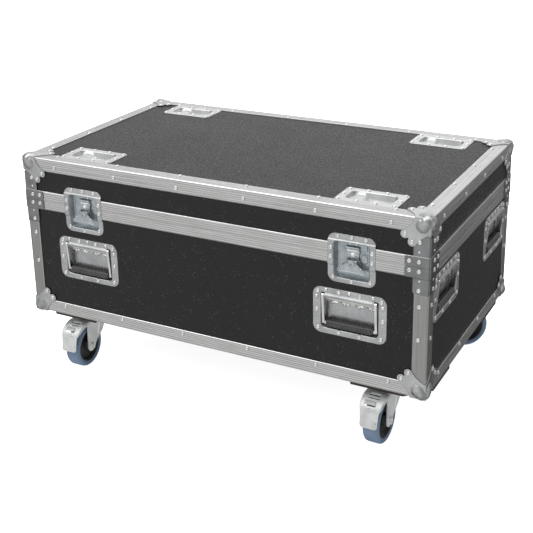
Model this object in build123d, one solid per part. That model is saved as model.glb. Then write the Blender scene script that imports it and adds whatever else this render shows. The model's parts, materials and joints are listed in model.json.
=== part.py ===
from build123d import *
import os

os.makedirs("parts", exist_ok=True)

# A wheeled lighting flight case in millimetres. X runs along the case, Y from its
# latched front to its hinged rear, Z up. The origin lies on the floor under the middle.

# Case body, over its aluminium angles
case_length = 960
case_width = 560
base_height = 277
lid_height = 99
panel_thickness = 9
seal_gap = 0.4

# Aluminium edge angles
angle_flange = 30
angle_wall = 1.5
angle_nose = 2.5
angle_groove_pitch = 4.8
angle_groove_width = 0.8
angle_groove_depth = 0.3
angle_groove_count = 5
mitre_clearance = 0.1

# Closing rims, an extruded channel on each half
base_rim_height = 22.2
lid_rim_height = 21
rim_proud = 1
rim_cap = 4.5
rim_inner_wall = 1.5
rim_inner_height = 18
tongue_width = 3.4
tongue_height = 2.6
tongue_inset = 4.3
groove_clearance = 0.6
ridge_pitch = 3.6
ridge_width = 0.9
ridge_depth = 0.4
ridge_count = 5

# Boards under the castors
board_thickness = 9
board_length = 160
board_width = 150
board_end_inset = 2
board_side_inset = 8
board_corner_cut = 47

# Castors
castor_end_inset = 105
castor_side_inset = 66
castor_trail = 37
castor_turns = (-87, -91, 90, 40)
wheel_diameter = 100
wheel_clearance = 12.2
tyre_width = 36
tyre_tread_width = 26
tyre_shoulder_drop = 5
tyre_depth = 12
tyre_seat_width = 32
web_width = 20
hub_diameter = 26
hub_length = 39
axle_diameter = 8
top_plate_length = 105
top_plate_width = 85
top_plate_thickness = 3
top_plate_corner = 8
race_diameter = 56
race_depth = 6
kingpin_diameter = 12
crown_thickness = 3.5
crown_lead = 22
crown_reach = 36
fork_gap = 41
fork_wall = 2.5
fork_eye_radius = 13
fork_shoulder = 9
swivel_gap = 0.3
running_clearance = 0.05
bolt_pitch_x = 80
bolt_pitch_y = 60
bolt_neck = 8
bolt_clearance = 0.1
bolt_head_radius = 9.5
bolt_head_height = 3.5
nut_across = 13
nut_height = 5

# Brake pedals on the two front castors
pedal_width = 40
pedal_thickness = 2.5
pedal_pin_diameter = 6
pedal_eye_radius = 5
pedal_pin_reach = 44
pedal_pin_drop = 17
pedal_brow_reach = 18
pedal_brow_drop = 15
pedal_knee_gap = 1
pedal_knee_drop = 26
pedal_waist_gap = 4
pedal_waist_drop = 45
pedal_toe_gap = 9
pedal_toe_drop = 65

# Ball corners, stamped steel
corner_plate = 1.5
ball_radius = 16.5
ball_inset = 9.8
ball_edge_reach = 32
ball_waist_far = 42
ball_waist_near = 17.5
ear_far = 50.5
ear_near = 36
ear_radius = 9
ear_start_angle = -43
ear_end_angle = 128

# Corner braces where the lid meets the base
brace_width = 32.5
brace_band_width = 49.5
lid_brace_height = 62
base_brace_height = 56

# Spring handles, two on the front and two on each end
handle_plate_width = 158
handle_plate_height = 101
handle_plate_radius = 17
handle_opening_width = 121.4
handle_opening_height = 76
handle_opening_radius = 8
handle_eye_radius = 3
handle_depth = 15
handle_front_inset = 162.5
handle_front_drop = 129
handle_end_inset = 112
handle_end_drop = 81.5
dish_wall = 1.2
roll_level = 33
roll_set_back = 0.5
roll_radius = 4.4
roll_length = 106
bail_rod_diameter = 6
bail_side_gap = 1
bail_leg_width = 5
bail_leg_depth = 8
bail_length = 61
bail_set_back = 5.5
bail_bar_size = 6
bail_bore_clearance = 0.08
grip_diameter = 17
grip_length = 100
grip_edge = 1.5
grip_clearance = 0.05

# Butterfly latches, two on the front
latch_inset = 158.5
latch_width = 101.5
latch_rise = 40.5
latch_drop = 62.5
latch_radius = 16
latch_opening_width = 74
latch_opening_rise = 26.5
latch_opening_drop = 52
latch_opening_radius = 9
latch_depth = 11.5
latch_joggle_run = 5
latch_axis_drop = 20.5
latch_throw = 4
layer_gap = 0.2
drive_disc_radius = 12
drive_disc_thickness = 1.5
drive_shaft_diameter = 8
drive_washer_radius = 7
drive_pin_diameter = 6
hook_thickness = 1.6
hook_window_width = 15
hook_window_height = 8
hook_frame = 4
hook_half_width = 14
hook_bar_diameter = 6
hook_bar_level = 12
cover_disc_radius = 16
cover_disc_thickness = 1.5
boss_radius = 9
boss_height = 2
wing_hinge_rise = 8
wing_hinge_proud = 0.6
wing_knuckle_radius = 1.8
wing_knuckle_length = 18
wing_pin_diameter = 2
wing_lug_width = 2.6
wing_lug_radius = 2.2
wing_reach = 30.2
wing_thickness = 2
wing_foot_drop = 19.5
wing_shoulder_width = 26
keeper_width = 22
keeper_thickness = 1.7
keeper_foot = 3
keeper_head = 24

# Hinges on the rear
hinge_inset = 158.5
hinge_width = 80
hinge_height = 55
hinge_plate = 2
hinge_axis_offset = 7
hinge_knuckle_radius = 5.5
hinge_pin_diameter = 5
hinge_middle_width = 27.4
hinge_side_gap = 0.3
hinge_swing_clearance = 0.5

# Stacking cups on the lid
cup_plate_length = 133
cup_plate_width = 77
cup_plate_radius = 7
cup_length = 97
cup_width = 47
cup_radius = 12
cup_depth = 14
cup_draft = 14
cup_step_length = 32
cup_step_depth = 7
cup_end_offset = 145.5
cup_side_offset = 69
cup_wall = 1.2

# Clearance of a panel round a dish, and the overrun of cuts
panel_clearance = 0.5
cut_overrun = 5

# Levels and half sizes
wheel_radius = wheel_diameter / 2
crown_under = wheel_diameter + wheel_clearance
crown_top = crown_under + crown_thickness
top_plate_under = crown_top + swivel_gap + race_depth
castor_height = top_plate_under + top_plate_thickness
case_bottom = castor_height + board_thickness
parting = case_bottom + base_height
case_top = parting + lid_height
half_length = case_length / 2
half_width = case_width / 2
latch_offset = half_length - latch_inset
hinge_offset = half_length - hinge_inset
handle_front_offset = half_length - handle_front_inset
handle_end_offset = half_width - handle_end_inset
handle_front_level = parting - handle_front_drop
handle_end_level = parting - handle_end_drop
floor_top = case_bottom + angle_wall + panel_thickness
lid_panel_under = case_top - angle_wall - panel_thickness


# Helpers


def block(x_from, x_to, y_from, y_to, z_from, z_to):
    size = Box(x_to - x_from, y_to - y_from, z_to - z_from, align=(Align.MIN, Align.MIN, Align.MIN))
    return Pos(x_from, y_from, z_from) * size


def oblong(x_from, x_to, y_from, y_to):
    return Pos(x_from, y_from) * Rectangle(x_to - x_from, y_to - y_from, align=(Align.MIN, Align.MIN))


def disc(radius, z_from, z_to):
    return Pos(0, 0, z_from) * Cylinder(radius, z_to - z_from, align=(Align.CENTER, Align.CENTER, Align.MIN))


def rod_across(radius, length):
    return Rot(0, 90, 0) * Cylinder(radius, length)


def slab(sketch, z_from, z_to):
    return extrude(Pos(0, 0, z_from) * sketch, z_to - z_from)


def front_frame(across, level):
    # Local X to the right, Y up and Z outwards from the aluminium face
    return Plane((across, -half_width, level), x_dir=(1, 0, 0), z_dir=(0, -1, 0))


def rear_frame(across, level):
    return Plane((across, half_width, level), x_dir=(-1, 0, 0), z_dir=(0, 1, 0))


def end_frame(side, across, level):
    return Plane((side * half_length, across, level), x_dir=(0, side, 0), z_dir=(side, 0, 0))


def on_sides(solid):
    # The solid and its copy across the middle of the case's length
    return [solid, mirror(solid, about=Plane.YZ)]


def on_corners(solid):
    pair = on_sides(solid)
    return pair + [mirror(one, about=Plane.XZ) for one in pair]


def write(name, pieces):
    solids = [solid for piece in pieces for solid in piece.solids()]
    export_step(Compound(children=solids), "parts/" + name + ".step")


# Aluminium edge angles


def angle_bar(length, far_mitre):
    wall = angle_wall
    reach = angle_flange
    outline = Polyline((0, 0), (reach, 0), (reach, wall), (wall, wall), (wall, reach), (0, reach), close=True)
    section = make_face(outline)
    section = fillet(section.vertices().sort_by_distance((0, 0, 0))[0], angle_nose)
    for index in range(angle_groove_count):
        place = (index + 1) * angle_groove_pitch
        section -= oblong(place, place + angle_groove_width, -angle_groove_depth, angle_groove_depth)
        section -= oblong(-angle_groove_depth, angle_groove_depth, place, place + angle_groove_width)
    bar = extrude(section, length)
    for lean in ((-1, 0), (0, -1)):
        near_cut = Plane((0, 0, mitre_clearance), z_dir=(*lean, 1))
        bar = split(bar, bisect_by=near_cut, keep=Keep.TOP)
        if far_mitre:
            far_cut = Plane((0, 0, length - mitre_clearance), z_dir=(*lean, -1))
            bar = split(bar, bisect_by=far_cut, keep=Keep.TOP)
    return bar


def edge_angles(level, upwards, post_height):
    # Long bar, end bar and post at the front left corner of one half
    corner = (-half_length, -half_width, level)
    if upwards:
        long_frame = Plane(corner, x_dir=(0, 1, 0), z_dir=(1, 0, 0))
        end_bar_frame = Plane(corner, x_dir=(0, 0, 1), z_dir=(0, 1, 0))
        post_frame = Plane(corner, x_dir=(1, 0, 0), z_dir=(0, 0, 1))
    else:
        long_frame = Plane(corner, x_dir=(0, 0, -1), z_dir=(1, 0, 0))
        end_bar_frame = Plane(corner, x_dir=(1, 0, 0), z_dir=(0, 1, 0))
        post_frame = Plane(corner, x_dir=(0, 1, 0), z_dir=(0, 0, -1))
    long_bar = long_frame * angle_bar(case_length, True)
    end_bar = end_bar_frame * angle_bar(case_width, True)
    post = post_frame * angle_bar(post_height, False)
    return [long_bar, mirror(long_bar, about=Plane.XZ)] + on_sides(end_bar) + on_corners(post)


# Closing rims


def rim_section(height, has_tongue):
    # X inwards from the aluminium face, Y away from the parting face
    inner_face = angle_wall + panel_thickness
    outer_wall = oblong(-rim_proud, angle_wall, 0, height)
    cap = oblong(-rim_proud, inner_face + rim_inner_wall, 0, rim_cap)
    inner_wall = oblong(inner_face, inner_face + rim_inner_wall, 0, rim_inner_height)
    section = outer_wall + cap + inner_wall
    for index in range(ridge_count):
        level = height - (index + 1) * ridge_pitch
        section -= oblong(-rim_proud - ridge_depth, ridge_depth - rim_proud, level, level + ridge_width)
    if has_tongue:
        return section + oblong(tongue_inset, tongue_inset + tongue_width, -tongue_height, 0)
    groove_from = tongue_inset - groove_clearance
    groove_to = tongue_inset + tongue_width + groove_clearance
    return section - oblong(groove_from, groove_to, 0, tongue_height + groove_clearance)


def rim_bar(length, height, has_tongue):
    bar = slab(rim_section(height, has_tongue), -rim_proud, length + rim_proud)
    near_cut = Plane((0, 0, mitre_clearance), z_dir=(-1, 0, 1))
    far_cut = Plane((0, 0, length - mitre_clearance), z_dir=(-1, 0, -1))
    bar = split(bar, bisect_by=near_cut, keep=Keep.TOP)
    return split(bar, bisect_by=far_cut, keep=Keep.TOP)


def rim(height, is_lid):
    level = parting + seal_gap / 2 if is_lid else parting - seal_gap / 2
    hand = 1 if is_lid else -1
    long_frame = Plane((-hand * half_length, -half_width, level), x_dir=(0, 1, 0), z_dir=(hand, 0, 0))
    end_bar_frame = Plane((-half_length, hand * half_width, level), x_dir=(1, 0, 0), z_dir=(0, -hand, 0))
    front_bar = long_frame * rim_bar(case_length, height, is_lid)
    rear_bar = mirror(front_bar, about=Plane.XZ)
    end_bar = end_bar_frame * rim_bar(case_width, height, is_lid)
    for across in (-latch_offset, latch_offset):
        front_bar -= front_frame(across, parting) * latch_pocket(panel_clearance)
    return [front_bar, rear_bar] + on_sides(end_bar)


# Latch dishes


def latch_outline(rise, drop, width, radius):
    middle = (rise - drop) / 2
    return Pos(0, middle) * RectangleRounded(width, rise + drop, radius)


def latch_pocket(clearance):
    # The space that the tray takes up in the panels and rims
    grow = dish_wall + clearance
    outline = latch_outline(
        latch_opening_rise + grow,
        latch_opening_drop + grow,
        latch_opening_width + 2 * grow,
        latch_opening_radius + grow,
    )
    return slab(outline, -latch_depth - grow - cut_overrun, cut_overrun)


def joggled_plate(width, thickness, rise, drop, run):
    # A plate that steps over both rims and back to the panels, from its side
    low = -angle_wall
    high = rim_proud
    band_rise = lid_rim_height + seal_gap / 2
    band_drop = base_rim_height + seal_gap / 2
    inner = [(low, -drop), (low, -band_drop - run), (high, -band_drop)]
    inner += [(high, band_rise), (low, band_rise + run), (low, rise)]
    slip = thickness * run / (run + angle_wall + rim_proud)
    outer = [(low + thickness, rise), (low + thickness, band_rise + run + slip)]
    outer += [(high + thickness, band_rise + slip), (high + thickness, -band_drop - slip)]
    outer += [(low + thickness, -band_drop - run - slip), (low + thickness, -drop)]
    profile = make_face(Polyline(*inner, *outer, close=True))
    side = Plane((width / 2, 0, 0), x_dir=(0, 0, 1), z_dir=(-1, 0, 0))
    return extrude(side * profile, width)


def latch_dish():
    plate = joggled_plate(latch_width, dish_wall, latch_rise, latch_drop, latch_joggle_run)
    outline = latch_outline(latch_rise, latch_drop, latch_width, latch_radius)
    plate &= slab(outline, -latch_depth, latch_depth)
    tray_outline = latch_outline(
        latch_opening_rise + dish_wall,
        latch_opening_drop + dish_wall,
        latch_opening_width + 2 * dish_wall,
        latch_opening_radius + dish_wall,
    )
    opening = latch_outline(
        latch_opening_rise, latch_opening_drop, latch_opening_width, latch_opening_radius
    )
    tray_skin = slab(tray_outline, -latch_depth - dish_wall, rim_proud)
    under_plate = joggled_plate(latch_width, latch_depth * 2, latch_rise, latch_drop, latch_joggle_run)
    tray = tray_skin - under_plate
    shaft_hole = disc(drive_shaft_diameter / 2 + running_clearance, -latch_depth * 2, 0)
    dish = plate + tray - slab(opening, -latch_depth, latch_depth)
    return dish - Pos(0, -latch_axis_drop, 0) * shaft_hole


def latch_dish_half(is_lid):
    gap = seal_gap / 2
    above = oblong(-latch_width, latch_width, 0, latch_width)
    room = slab(above, -latch_width, latch_width)
    if is_lid:
        return latch_dish() & (Pos(0, gap, 0) * room)
    return latch_dish() & (Rot(180, 0, 0) * Pos(0, gap, 0) * room)


# Latch movement, layer by layer from the tray floor outwards
drive_back = -latch_depth + layer_gap
drive_front = drive_back + drive_disc_thickness
hook_back = drive_front + layer_gap
hook_front = hook_back + hook_thickness
cover_back = hook_front + layer_gap
cover_front = cover_back + cover_disc_thickness
boss_front = cover_front + boss_height


def latch_rotor():
    tray_back = -latch_depth - dish_wall
    shaft = disc(drive_shaft_diameter / 2, tray_back - layer_gap, drive_back)
    washer = disc(drive_washer_radius, tray_back - layer_gap - drive_disc_thickness, tray_back - layer_gap)
    drive_disc = disc(drive_disc_radius, drive_back, drive_front)
    crank_pin = Pos(0, -latch_throw, 0) * disc(drive_pin_diameter / 2, drive_front, cover_back)
    cover = disc(cover_disc_radius, cover_back, cover_front)
    boss = disc(boss_radius, cover_front, boss_front)
    rotor = washer + shaft + drive_disc + crank_pin + cover + boss
    eye = Pos(0, wing_hinge_rise, wing_hinge_proud)
    lug_from = wing_knuckle_length / 2 + layer_gap
    lug_place = lug_from + wing_lug_width / 2
    for across in (-lug_place, lug_place):
        lug = rod_across(wing_lug_radius, wing_lug_width)
        stalk_depth = wing_hinge_proud - cover_back
        stalk = block(
            -wing_lug_width / 2, wing_lug_width / 2, -wing_lug_radius, wing_lug_radius, -stalk_depth, 0
        )
        rotor += eye * Pos(across, 0, 0) * (lug + stalk)
    pin_hole = rod_across(wing_pin_diameter / 2 + running_clearance, latch_width)
    return rotor - eye * pin_hole


def latch_hook():
    bar_rise = hook_bar_level + latch_axis_drop
    half_window = hook_window_width / 2
    foot = -latch_throw - hook_window_height / 2 - hook_frame
    frame = half_window + hook_frame
    shoulder = drive_disc_radius
    outline = Polyline(
        (-frame, foot),
        (frame, foot),
        (frame, shoulder),
        (hook_half_width, bar_rise - hook_bar_diameter),
        (hook_half_width, bar_rise),
        (-hook_half_width, bar_rise),
        (-hook_half_width, bar_rise - hook_bar_diameter),
        (-frame, shoulder),
        close=True,
    )
    plate = slab(make_face(outline), hook_back, hook_front)
    window = Pos(0, -latch_throw) * Rectangle(hook_window_width, hook_window_height)
    plate -= slab(window, hook_back - cut_overrun, hook_front + cut_overrun)
    bar = rod_across(hook_bar_diameter / 2, 2 * hook_half_width)
    return plate + Pos(0, bar_rise, hook_back + hook_bar_diameter / 2) * bar


def latch_wing():
    knuckle_half = wing_knuckle_length / 2
    top = wing_hinge_rise
    neck = top - wing_lug_radius - hinge_swing_clearance
    outline = Polyline(
        (-knuckle_half, top),
        (-knuckle_half, neck),
        (-wing_shoulder_width / 2, top - boss_radius),
        (-wing_reach, -wing_foot_drop / 2),
        (-wing_reach, -wing_foot_drop),
        (wing_reach, -wing_foot_drop),
        (wing_reach, -wing_foot_drop / 2),
        (wing_shoulder_width / 2, top - boss_radius),
        (knuckle_half, neck),
        (knuckle_half, top),
        close=True,
    )
    fan = make_face(outline) & Circle(wing_reach)
    middle = wing_hinge_proud
    plate = slab(fan, middle - wing_thickness / 2, middle + wing_thickness / 2)
    knuckle = rod_across(wing_knuckle_radius, wing_knuckle_length)
    pin = rod_across(wing_pin_diameter / 2, wing_knuckle_length + 2 * wing_lug_width)
    return plate + Pos(0, top, middle) * (knuckle + pin)


def latch_keeper():
    half = keeper_width / 2
    return block(-half, half, keeper_foot, keeper_head, -latch_depth, keeper_thickness - latch_depth)


# Handles


def handle_outline(grow):
    # Round at its foot, and squarer at its head, where the bail's eyes are
    width = handle_opening_width + 2 * grow
    height = handle_opening_height + 2 * grow
    head = Pos(0, height / 4) * RectangleRounded(width, height / 2, handle_eye_radius + grow)
    return RectangleRounded(width, height, handle_opening_radius + grow) + head


def handle_pocket(clearance):
    return slab(handle_outline(dish_wall + clearance), -handle_depth - cut_overrun, cut_overrun)


def handle_dish():
    plate_front = dish_wall - angle_wall
    plate_outline = RectangleRounded(handle_plate_width, handle_plate_height, handle_plate_radius)
    plate = slab(plate_outline, -angle_wall, plate_front)
    tray = slab(handle_outline(dish_wall), -handle_depth - dish_wall, -angle_wall)
    dish = plate + tray - slab(handle_outline(0), -handle_depth, cut_overrun)
    bore_radius = bail_rod_diameter / 2 + bail_bore_clearance
    web_from = roll_level + (bore_radius + roll_radius) / 2
    web_to = handle_opening_height / 2 + dish_wall
    web = block(-roll_length / 2, roll_length / 2, web_from, web_to, -angle_wall, plate_front)
    roll = Pos(0, roll_level, -roll_set_back) * rod_across(roll_radius, roll_length)
    bore = Pos(0, roll_level, -roll_set_back) * rod_across(bore_radius, roll_length + cut_overrun)
    return dish + web + roll - bore


bail_leg_inner = roll_length / 2 + bail_side_gap


def handle_bail():
    # In the dish's frame, with the pivot at the roll's centre
    pivot = Pos(0, roll_level, -roll_set_back)
    rod = rod_across(bail_rod_diameter / 2, 2 * bail_leg_inner)
    slant = Vector(0, -bail_length, -bail_set_back)
    half_depth = bail_leg_depth / 2
    top_eye = Circle(half_depth)
    foot_eye = Pos(-bail_set_back, -bail_length) * Circle(half_depth)
    leg_outline = make_hull(top_eye.edges() + foot_eye.edges())
    side = Plane((bail_leg_inner, 0, 0), x_dir=(0, 0, 1), z_dir=(-1, 0, 0))
    leg = extrude(side * leg_outline, -bail_leg_width)
    bar = Pos(slant) * Box(2 * bail_leg_inner, bail_bar_size, bail_bar_size)
    return pivot * (rod + leg + mirror(leg, about=Plane.YZ) + bar)


def handle_grip():
    place = Pos(0, roll_level - bail_length, -roll_set_back - bail_set_back)
    body = rod_across(grip_diameter / 2, grip_length)
    body = chamfer(body.edges().filter_by(GeomType.CIRCLE), grip_edge)
    bore = bail_bar_size + 2 * grip_clearance
    return place * (body - Box(grip_length + cut_overrun, bore, bore))


# Hinges


def hinge_leaf(is_lid):
    plate = joggled_plate(hinge_width, hinge_plate, hinge_height, hinge_height, latch_joggle_run)
    gap = seal_gap / 2
    hand = 1 if is_lid else -1
    half = hinge_width / 2
    level_from = gap if is_lid else -hinge_height
    level_to = hinge_height if is_lid else -gap
    leaf = plate & block(-half, half, level_from, level_to, -hinge_height, hinge_height)
    middle = hinge_middle_width / 2
    side = middle + hinge_side_gap
    spans = [(-middle, middle)] if is_lid else [(-half, -side), (side, half)]
    axis = Pos(0, 0, hinge_axis_offset)
    swept = axis * rod_across(hinge_knuckle_radius + hinge_swing_clearance, hinge_width)
    leaf -= swept
    for span_from, span_to in spans:
        width = span_to - span_from
        place = Pos((span_from + span_to) / 2, 0, 0)
        knuckle = axis * rod_across(hinge_knuckle_radius, width)
        tail_to = hinge_knuckle_radius + 2 * hinge_swing_clearance
        tail = block(-width / 2, width / 2, 0, tail_to, rim_proud, rim_proud + hinge_plate)
        if not is_lid:
            tail = mirror(tail, about=Plane.XZ)
        tail &= block(-width / 2, width / 2, level_from, level_to, 0, hinge_height)
        leaf += place * (knuckle + tail)
    bore = hinge_pin_diameter / 2 + running_clearance
    return leaf - axis * rod_across(bore, hinge_width + cut_overrun)


def hinge_pin():
    return Pos(0, 0, hinge_axis_offset) * rod_across(hinge_pin_diameter / 2, hinge_width)


# Ball corners and braces, at the front left bottom corner of the case


def ear_point(angle):
    return Vector(ear_far, ear_near) + Vector(ear_radius, 0).rotate(Axis.Z, angle)


def swap(point):
    return Vector(point.Y, point.X)


def ball_plate_outline():
    skin = -corner_plate
    start = Vector(ball_edge_reach, 0)
    waist = Vector(ball_waist_far, ball_waist_near)
    ear_from = ear_point(ear_start_angle)
    ear_middle = ear_point((ear_start_angle + ear_end_angle) / 2)
    ear_to = ear_point(ear_end_angle)
    edges = [
        Line((skin, skin), (ball_edge_reach, skin)),
        Line((ball_edge_reach, skin), start),
        ThreePointArc(start, waist, ear_from),
        ThreePointArc(ear_from, ear_middle, ear_to),
        Line(ear_to, swap(ear_to)),
        ThreePointArc(swap(ear_to), swap(ear_middle), swap(ear_from)),
        ThreePointArc(swap(ear_from), swap(waist), swap(start)),
        Line(swap(start), (skin, ball_edge_reach)),
        Line((skin, ball_edge_reach), (skin, skin)),
    ]
    return make_face(edges)


def ball_corner():
    plate = slab(ball_plate_outline(), -corner_plate, 0)
    on_end = Plane((0, 0, 0), x_dir=(0, 1, 0), z_dir=(1, 0, 0)) * plate
    on_front = Plane((0, 0, 0), x_dir=(0, 0, 1), z_dir=(0, 1, 0)) * plate
    ball = Pos(ball_inset, ball_inset, ball_inset) * Sphere(ball_radius)
    reach = ball_inset + ball_radius
    ball -= block(0, reach, 0, reach, 0, reach)
    return plate + on_end + on_front + ball


def wrap_section(reach, inner):
    # An angle of plate round the vertical corner, its inner faces at the given offset
    outer = -inner - corner_plate
    section = oblong(outer, reach, outer, reach) - oblong(-inner, reach, -inner, reach)
    return fillet(section.vertices().sort_by_distance((outer, outer, 0))[0], corner_plate)


def corner_brace(height, band_height):
    # Upwards from the parting face
    angle_part = slab(wrap_section(brace_width, 0), band_height, height)
    band_part = slab(wrap_section(brace_band_width, rim_proud), 0, band_height + corner_plate)
    return angle_part + band_part


def lid_brace():
    # Its top is cut away round the ball corner above it
    brace = corner_brace(lid_brace_height, lid_rim_height)
    room = slab(offset(ball_plate_outline(), panel_clearance), -cut_overrun, cut_overrun)
    on_end = Plane((0, 0, 0), x_dir=(0, 1, 0), z_dir=(1, 0, 0)) * room
    on_front = Plane((0, 0, 0), x_dir=(0, 0, 1), z_dir=(0, 1, 0)) * room
    lid_corner = Pos(0, 0, lid_height - seal_gap / 2) * mirror(on_end + on_front, about=Plane.XY)
    return brace - lid_corner


# Castors


def castor_board():
    cut = board_corner_cut
    far_x = board_end_inset + board_length
    far_y = board_side_inset + board_width
    outline = Polyline(
        (board_end_inset + cut, board_side_inset),
        (far_x, board_side_inset),
        (far_x, far_y),
        (board_end_inset, far_y),
        (board_end_inset, board_side_inset + cut),
        close=True,
    )
    board = slab(make_face(outline), castor_height, case_bottom)
    relief = ear_far + ear_radius + panel_clearance
    board -= block(0, relief, 0, relief, case_bottom - corner_plate - panel_clearance, case_bottom)
    centre = Pos(castor_end_inset, castor_side_inset, 0)
    board -= [centre * hole for hole in bolt_holes()]
    return Pos(-half_length, -half_width, 0) * board


def bolt_places():
    return [
        Pos(x, y)
        for x in (-bolt_pitch_x / 2, bolt_pitch_x / 2)
        for y in (-bolt_pitch_y / 2, bolt_pitch_y / 2)
    ]


def bolt_holes():
    size = bolt_neck + 2 * bolt_clearance
    hole = slab(Rectangle(size, size), top_plate_under - cut_overrun, floor_top + cut_overrun)
    return [place * hole for place in bolt_places()]


def castor_top_plate():
    outline = Rectangle(top_plate_length, top_plate_width)
    outline = chamfer(outline.vertices(), top_plate_corner)
    plate = slab(outline, top_plate_under, castor_height)
    race = disc(race_diameter / 2, top_plate_under - race_depth, top_plate_under)
    kingpin = disc(kingpin_diameter / 2, crown_under, top_plate_under)
    return plate + race + kingpin - bolt_holes()


def castor_bolt():
    head = slab(RegularPolygon(bolt_head_radius, 8), floor_top, floor_top + bolt_head_height)
    nut_under = top_plate_under - nut_height
    neck = slab(Rectangle(bolt_neck, bolt_neck), nut_under, floor_top)
    nut = slab(RegularPolygon(nut_across / 2, 6, major_radius=False), nut_under, top_plate_under)
    return head + neck + nut


def castor_fork(is_braked):
    half_gap = fork_gap / 2
    half_outer = half_gap + fork_wall
    crown_outline = oblong(-crown_lead, crown_reach, -half_outer, half_outer)
    front_corners = crown_outline.vertices().group_by(Axis.X)[0]
    crown_outline = chamfer(front_corners, fork_shoulder)
    crown = slab(crown_outline, crown_under, crown_top)
    crown -= disc(kingpin_diameter / 2 + running_clearance, crown_under - cut_overrun, crown_top + cut_overrun)
    top = oblong(fork_shoulder - crown_lead, crown_reach, crown_top - fork_shoulder, crown_top)
    eye = Pos(castor_trail, wheel_radius) * Circle(fork_eye_radius)
    outline = make_hull(top.edges() + eye.edges())
    if is_braked:
        pin_level = castor_height - pedal_pin_drop
        pedal_eye = Pos(pedal_pin_reach, pin_level) * Circle(pedal_eye_radius)
        outline += make_hull(pedal_eye.edges() + eye.edges())
        outline -= Pos(pedal_pin_reach, pin_level) * Circle(pedal_pin_diameter / 2 + running_clearance)
    side = Plane((0, half_gap, 0), x_dir=(1, 0, 0), z_dir=(0, -1, 0))
    leg = extrude(side * outline, -fork_wall)
    axle_place = Pos(castor_trail, 0, wheel_radius) * Rot(90, 0, 0)
    axle = axle_place * Cylinder(axle_diameter / 2, fork_gap)
    head = slab(RegularPolygon(nut_across / 2, 6, major_radius=False), half_outer, half_outer + nut_height)
    heads = axle_place * (head + mirror(head, about=Plane.XY))
    return crown + leg + mirror(leg, about=Plane.XZ) + axle + heads


def turned(profile_points):
    # A wheel part from its half section: X along the axle, Y outwards
    return revolve(make_face(Polyline(*profile_points, close=True)), Axis.X)


def wheel_place():
    return Pos(castor_trail, 0, wheel_radius) * Rot(0, 0, 90)


def castor_tyre():
    half = tyre_width / 2
    tread = tyre_tread_width / 2
    seat = tyre_seat_width / 2
    seat_radius = wheel_radius - tyre_depth
    shoulder_radius = wheel_radius - tyre_shoulder_drop
    points = [(-tread, wheel_radius), (tread, wheel_radius), (half, shoulder_radius)]
    points += [(seat, seat_radius), (-seat, seat_radius), (-half, shoulder_radius)]
    return wheel_place() * turned(points)


def castor_core():
    seat = tyre_seat_width / 2
    seat_radius = wheel_radius - tyre_depth
    hub = hub_length / 2
    web = web_width / 2
    bore = axle_diameter / 2 + running_clearance
    points = [(-seat, seat_radius), (seat, seat_radius), (web, hub_diameter / 2), (hub, hub_diameter / 2)]
    points += [(hub, bore), (-hub, bore), (-hub, hub_diameter / 2), (-web, hub_diameter / 2)]
    return wheel_place() * turned(points)


def brake_pedal():
    pin_level = castor_height - pedal_pin_drop
    tyre_front = castor_trail + wheel_radius
    route = [
        (pedal_pin_reach, pin_level + pedal_eye_radius - pedal_thickness / 2),
        (pedal_pin_reach + pedal_brow_reach, castor_height - pedal_brow_drop),
        (tyre_front + pedal_knee_gap, castor_height - pedal_knee_drop),
        (tyre_front + pedal_waist_gap, castor_height - pedal_waist_drop),
        (tyre_front + pedal_toe_gap, castor_height - pedal_toe_drop),
    ]
    sheet = trace(Polyline(*route), pedal_thickness)
    side = Plane((0, pedal_width / 2, 0), x_dir=(1, 0, 0), z_dir=(0, -1, 0))
    plate = extrude(side * sheet, pedal_width)
    eye = Pos(pedal_pin_reach, 0, pin_level) * Rot(90, 0, 0) * Cylinder(pedal_eye_radius, pedal_width)
    pin = Pos(pedal_pin_reach, 0, pin_level) * Rot(90, 0, 0)
    pin *= Cylinder(pedal_pin_diameter / 2, fork_gap + 2 * fork_wall)
    return plate + eye + pin


# Stacking cups


def cup_cavity(grow, depth):
    outline = RectangleRounded(cup_length + 2 * grow, cup_width + 2 * grow, cup_radius + grow)
    downwards = Plane((0, 0, 0), x_dir=(1, 0, 0), z_dir=(0, 0, -1))
    return extrude(downwards * outline, depth, taper=cup_draft)


def stacking_cup():
    # Its plate lies in the lid panel's top face, level with the angles
    plate_outline = RectangleRounded(cup_plate_length, cup_plate_width, cup_plate_radius)
    plate = slab(plate_outline, -angle_wall, 0)
    cup = plate + cup_cavity(cup_wall, cup_depth + cup_wall) - cup_cavity(0, cup_depth)
    half = cup_length / 2
    step = block(-half, cup_step_length - half, -half, half, -cup_depth, -cup_step_depth)
    return cup + (step & cup_cavity(0, cup_depth))


# Panels


def base_panels():
    side = half_length - angle_wall
    front = half_width - angle_wall
    wall_to = parting - seal_gap / 2 - rim_cap
    floor = block(-side, side, -front, front, case_bottom + angle_wall, floor_top)
    for centre in castor_centres().values():
        floor -= [centre * hole for hole in bolt_holes()]
    front_wall = block(-side, side, -front, panel_thickness - front, floor_top, wall_to)
    rear_wall = mirror(front_wall, about=Plane.XZ)
    inner = front - panel_thickness
    end_wall = block(-side, panel_thickness - side, -inner, inner, floor_top, wall_to)
    for across in (-latch_offset, latch_offset):
        front_wall -= front_frame(across, parting) * latch_pocket(panel_clearance)
    for across in (-handle_front_offset, handle_front_offset):
        front_wall -= front_frame(across, handle_front_level) * handle_pocket(panel_clearance)
    for across in (-handle_end_offset, handle_end_offset):
        end_wall -= end_frame(-1, across, handle_end_level) * handle_pocket(panel_clearance)
    return floor, front_wall, rear_wall, end_wall


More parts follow.
